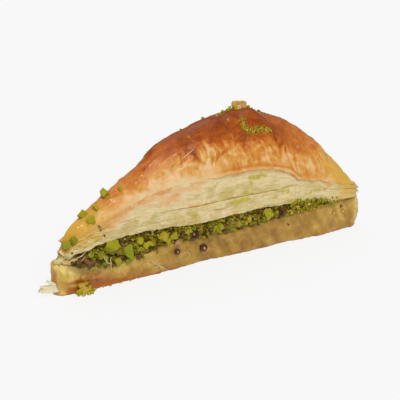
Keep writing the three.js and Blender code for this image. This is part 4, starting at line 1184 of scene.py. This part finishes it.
def makeScattered():
    rng = np.random.default_rng(scattered["seed"])
    onTop, onCut, foot, skins = Heap(), Heap(), Heap(), Heap()
    for x, y, size, tone, fresh in scattered["onCrust"]:
        at, up = crustSpot(x, y)
        onTop.add(chopped(rng, cubes, size, at + up * size * 0.25, (1, 0.9, 0.8)), tone, fresh)
    for _ in range(scattered["ridgeGrains"]):
        x = rng.choice([rng.uniform(*span) for span in scattered["ridgeSpans"]])
        at, up = crustSpot(x, rng.normal() * scattered["ridgeSpread"])
        size = rng.uniform(*scattered["ridgeSize"])
        onTop.add(chopped(rng, grains, size, at), rng.choice([0.3, 0.6, 0.9]))
    path = np.array(scattered["dustPath"])
    for _ in range(scattered["dustGrains"]):
        t = rng.uniform(0, len(path) - 1.001)
        k = int(t)
        x, y = path[k] + (path[k + 1] - path[k]) * (t - k) + rng.normal(size=2) * scattered["dustSpread"]
        size = rng.uniform(*scattered["dustSize"])
        at, up = crustSpot(x, y)
        onTop.add(chopped(rng, grains, size, at + up * size * 0.15), rng.choice([0.3, 0.6, 0.85, 1.0]))
    for x, z, out, size, tone, fresh in scattered["onCut"]:
        onCut.add(chopped(rng, chunks, size, cutSpot(x, z, out)), tone, fresh)
    for x, z, out, length, width, thickness, angles, taper, tone, fresh in scattered["slivers"]:
        sliver = tornFlake(rng, cutSpot(x, z, out), length, width, thickness, angles, 0.1, taper)
        onCut.add(sliver, tone, fresh)
    for x, z, length, tall, count, out in scattered["smears"]:
        for _ in range(count):
            at = cutSpot(x + rng.normal() * length / 2, z + rng.normal() * tall / 2, out)
            grain = chopped(rng, grains, rng.uniform(*scattered["smearSize"]), at)
            onCut.add(grain, rng.choice([0.4, 0.6, 0.8]), rng.uniform(0, 0.5))
    for x, z, out, size, tone in scattered["skinsOnCut"]:
        skins.add(chopped(rng, chunks, size, cutSpot(x, z, out), (1, 1, 1)), tone)
    points, faces = ball
    for x, z, out, size, tone in scattered["beads"]:
        wrinkled = points * (0.5 * size * (1 + 0.14 * noise(points, 0.5, int(rng.integers(99)))))[:, None]
        skins.add((wrinkled + cutSpot(x, z, out), faces), tone)
        spot = cutSpot(x - 0.1 * size, z + 0.1 * size, out + 0.4 * size)
        skins.add((points * 0.17 * size + spot, faces), 1.0)
    for x, z, out, length, width, angles, tone in scattered["curls"]:
        skins.add(tornFlake(rng, cutSpot(x, z, out), length, width, 0.5, angles, 0.7), tone)
    for x, y, z, size, tone, fresh in scattered["foot"]:
        foot.add(chopped(rng, chunks, size, (x, y, z)), tone, fresh)
    for _ in range(scattered["footGrains"]):
        x = scattered["footSpan"][0] + scattered["footSpan"][1] * rng.uniform() ** 1.6
        size = rng.uniform(*scattered["footSize"])
        at = cutSpot(x, size * 0.4, rng.uniform(0, 0.5))
        foot.add(chopped(rng, grains, size, at), rng.choice([0.9, 1.0]))
    onTop.piece("scatteredPistachio", nutFinish, "upper_pastry", "filling")
    onCut.piece("largerPieces", nutFinish, "pistachio_filling", "filling")
    foot.piece("crumbsAtFoot", nutFinish, "base_pastry", "filling")
    skins.piece("driedSkins", skinFinish, "pistachio_filling", "filling")
    flakes, shreds = Heap(), Heap()
    for at, length, width, thickness, angles, bend, tone in scattered["flakes"]:
        flakes.add(tornFlake(rng, at, length, width, thickness, angles, bend), tone)
    for out, radius, tone, path in scattered["shreds"]:
        shreds.add(strand([cutSpot(x, z, out) for x, z in path], radius), tone)
    for radius, tone, path in scattered["fibres"]:
        spots = [crustSpot(x, y) for x, y in path]
        flakes.add(strand([at + up * radius * 0.6 for at, up in spots], radius), tone)
    flakes.piece("tornFlakes", flakeFinish, "upper_pastry", "crust", crisp=False)
    shreds.piece("leafShreds", flakeFinish, "base_pastry", "base", crisp=False)


makeScattered()

studio = {
    "floor": 24.0,
    "floorColour": "#5A5A5A",
    "floorGlow": 0.83,  # the floor glows by itself, so that it stays evenly pale
    "sky": 0.2,
    "lights": [  # name, strength, azimuth, elevation, softness in degrees
        ("keySoft", 1.65, 10, 48, 40),
        ("backSoft", 1.0, 190, 60, 60),
        ("glint", 0.7, 40, 62, 8)],
}


def makeFloor():
    bpy.ops.mesh.primitive_plane_add(size=studio["floor"])
    floor = bpy.context.object
    floor.name = "floor"
    material, tree = newMaterial("matt paper, pale")
    finishMaterial(tree, {
        "Base Color": studio["floorColour"], "Roughness": 0.9, "Specular IOR Level": 0.0,
        "Emission Color": (1, 1, 1, 1), "Emission Strength": studio["floorGlow"]})
    floor.data.materials.append(material)


def facing(azimuth, elevation):  # towards a lamp or camera; azimuth 0 is the near side and 90 the tip's side
    turn, rise = math.radians(azimuth), math.radians(elevation)
    return Vector((-math.sin(turn) * math.cos(rise), -math.cos(turn) * math.cos(rise), math.sin(rise)))


def makeLight(name, strength, azimuth, elevation, softness):
    light = bpy.data.lights.new(name, "SUN")
    light.energy = strength
    light.angle = math.radians(softness)
    lamp = bpy.data.objects.new(name, light)
    lamp.rotation_euler = facing(azimuth, elevation).to_track_quat("Z", "Y").to_euler()
    bpy.context.scene.collection.objects.link(lamp)


makeFloor()
world = bpy.data.worlds.new("studio")
world.use_nodes = True
world.node_tree.nodes["Background"].inputs["Color"].default_value = (1, 1, 1, 1)
world.node_tree.nodes["Background"].inputs["Strength"].default_value = studio["sky"]
bpy.context.scene.world = world
for name, strength, azimuth, elevation, softness in studio["lights"]:
    makeLight(name, strength, azimuth, elevation, softness)

view = {
    "azimuth": 38.388,
    "elevation": 22.0,
    "distance": 385.0,
    "target": (62.5, 0.0, 19.0),
    "sensor": 36,
    "lens": 93.95,
    "shift": (0.00475, 0.00186),
}


def makeCamera():
    back = facing(view["azimuth"], view["elevation"])
    target = (Vector(view["target"]) + Vector(wedge["shift"])) / 1000
    lens = bpy.data.cameras.new("camera")
    lens.sensor_width = view["sensor"]
    lens.lens = view["lens"]
    lens.shift_x, lens.shift_y = view["shift"]
    lens.clip_start = 0.01  # the slice is small, and other views may come close
    camera = bpy.data.objects.new("camera", lens)
    camera.location = target + back * view["distance"] / 1000
    camera.rotation_euler = back.to_track_quat("Z", "Y").to_euler()
    bpy.context.scene.collection.objects.link(camera)
    bpy.context.scene.camera = camera


makeCamera()
bpy.context.scene.view_settings.view_transform = "Standard"
print("stage ready")
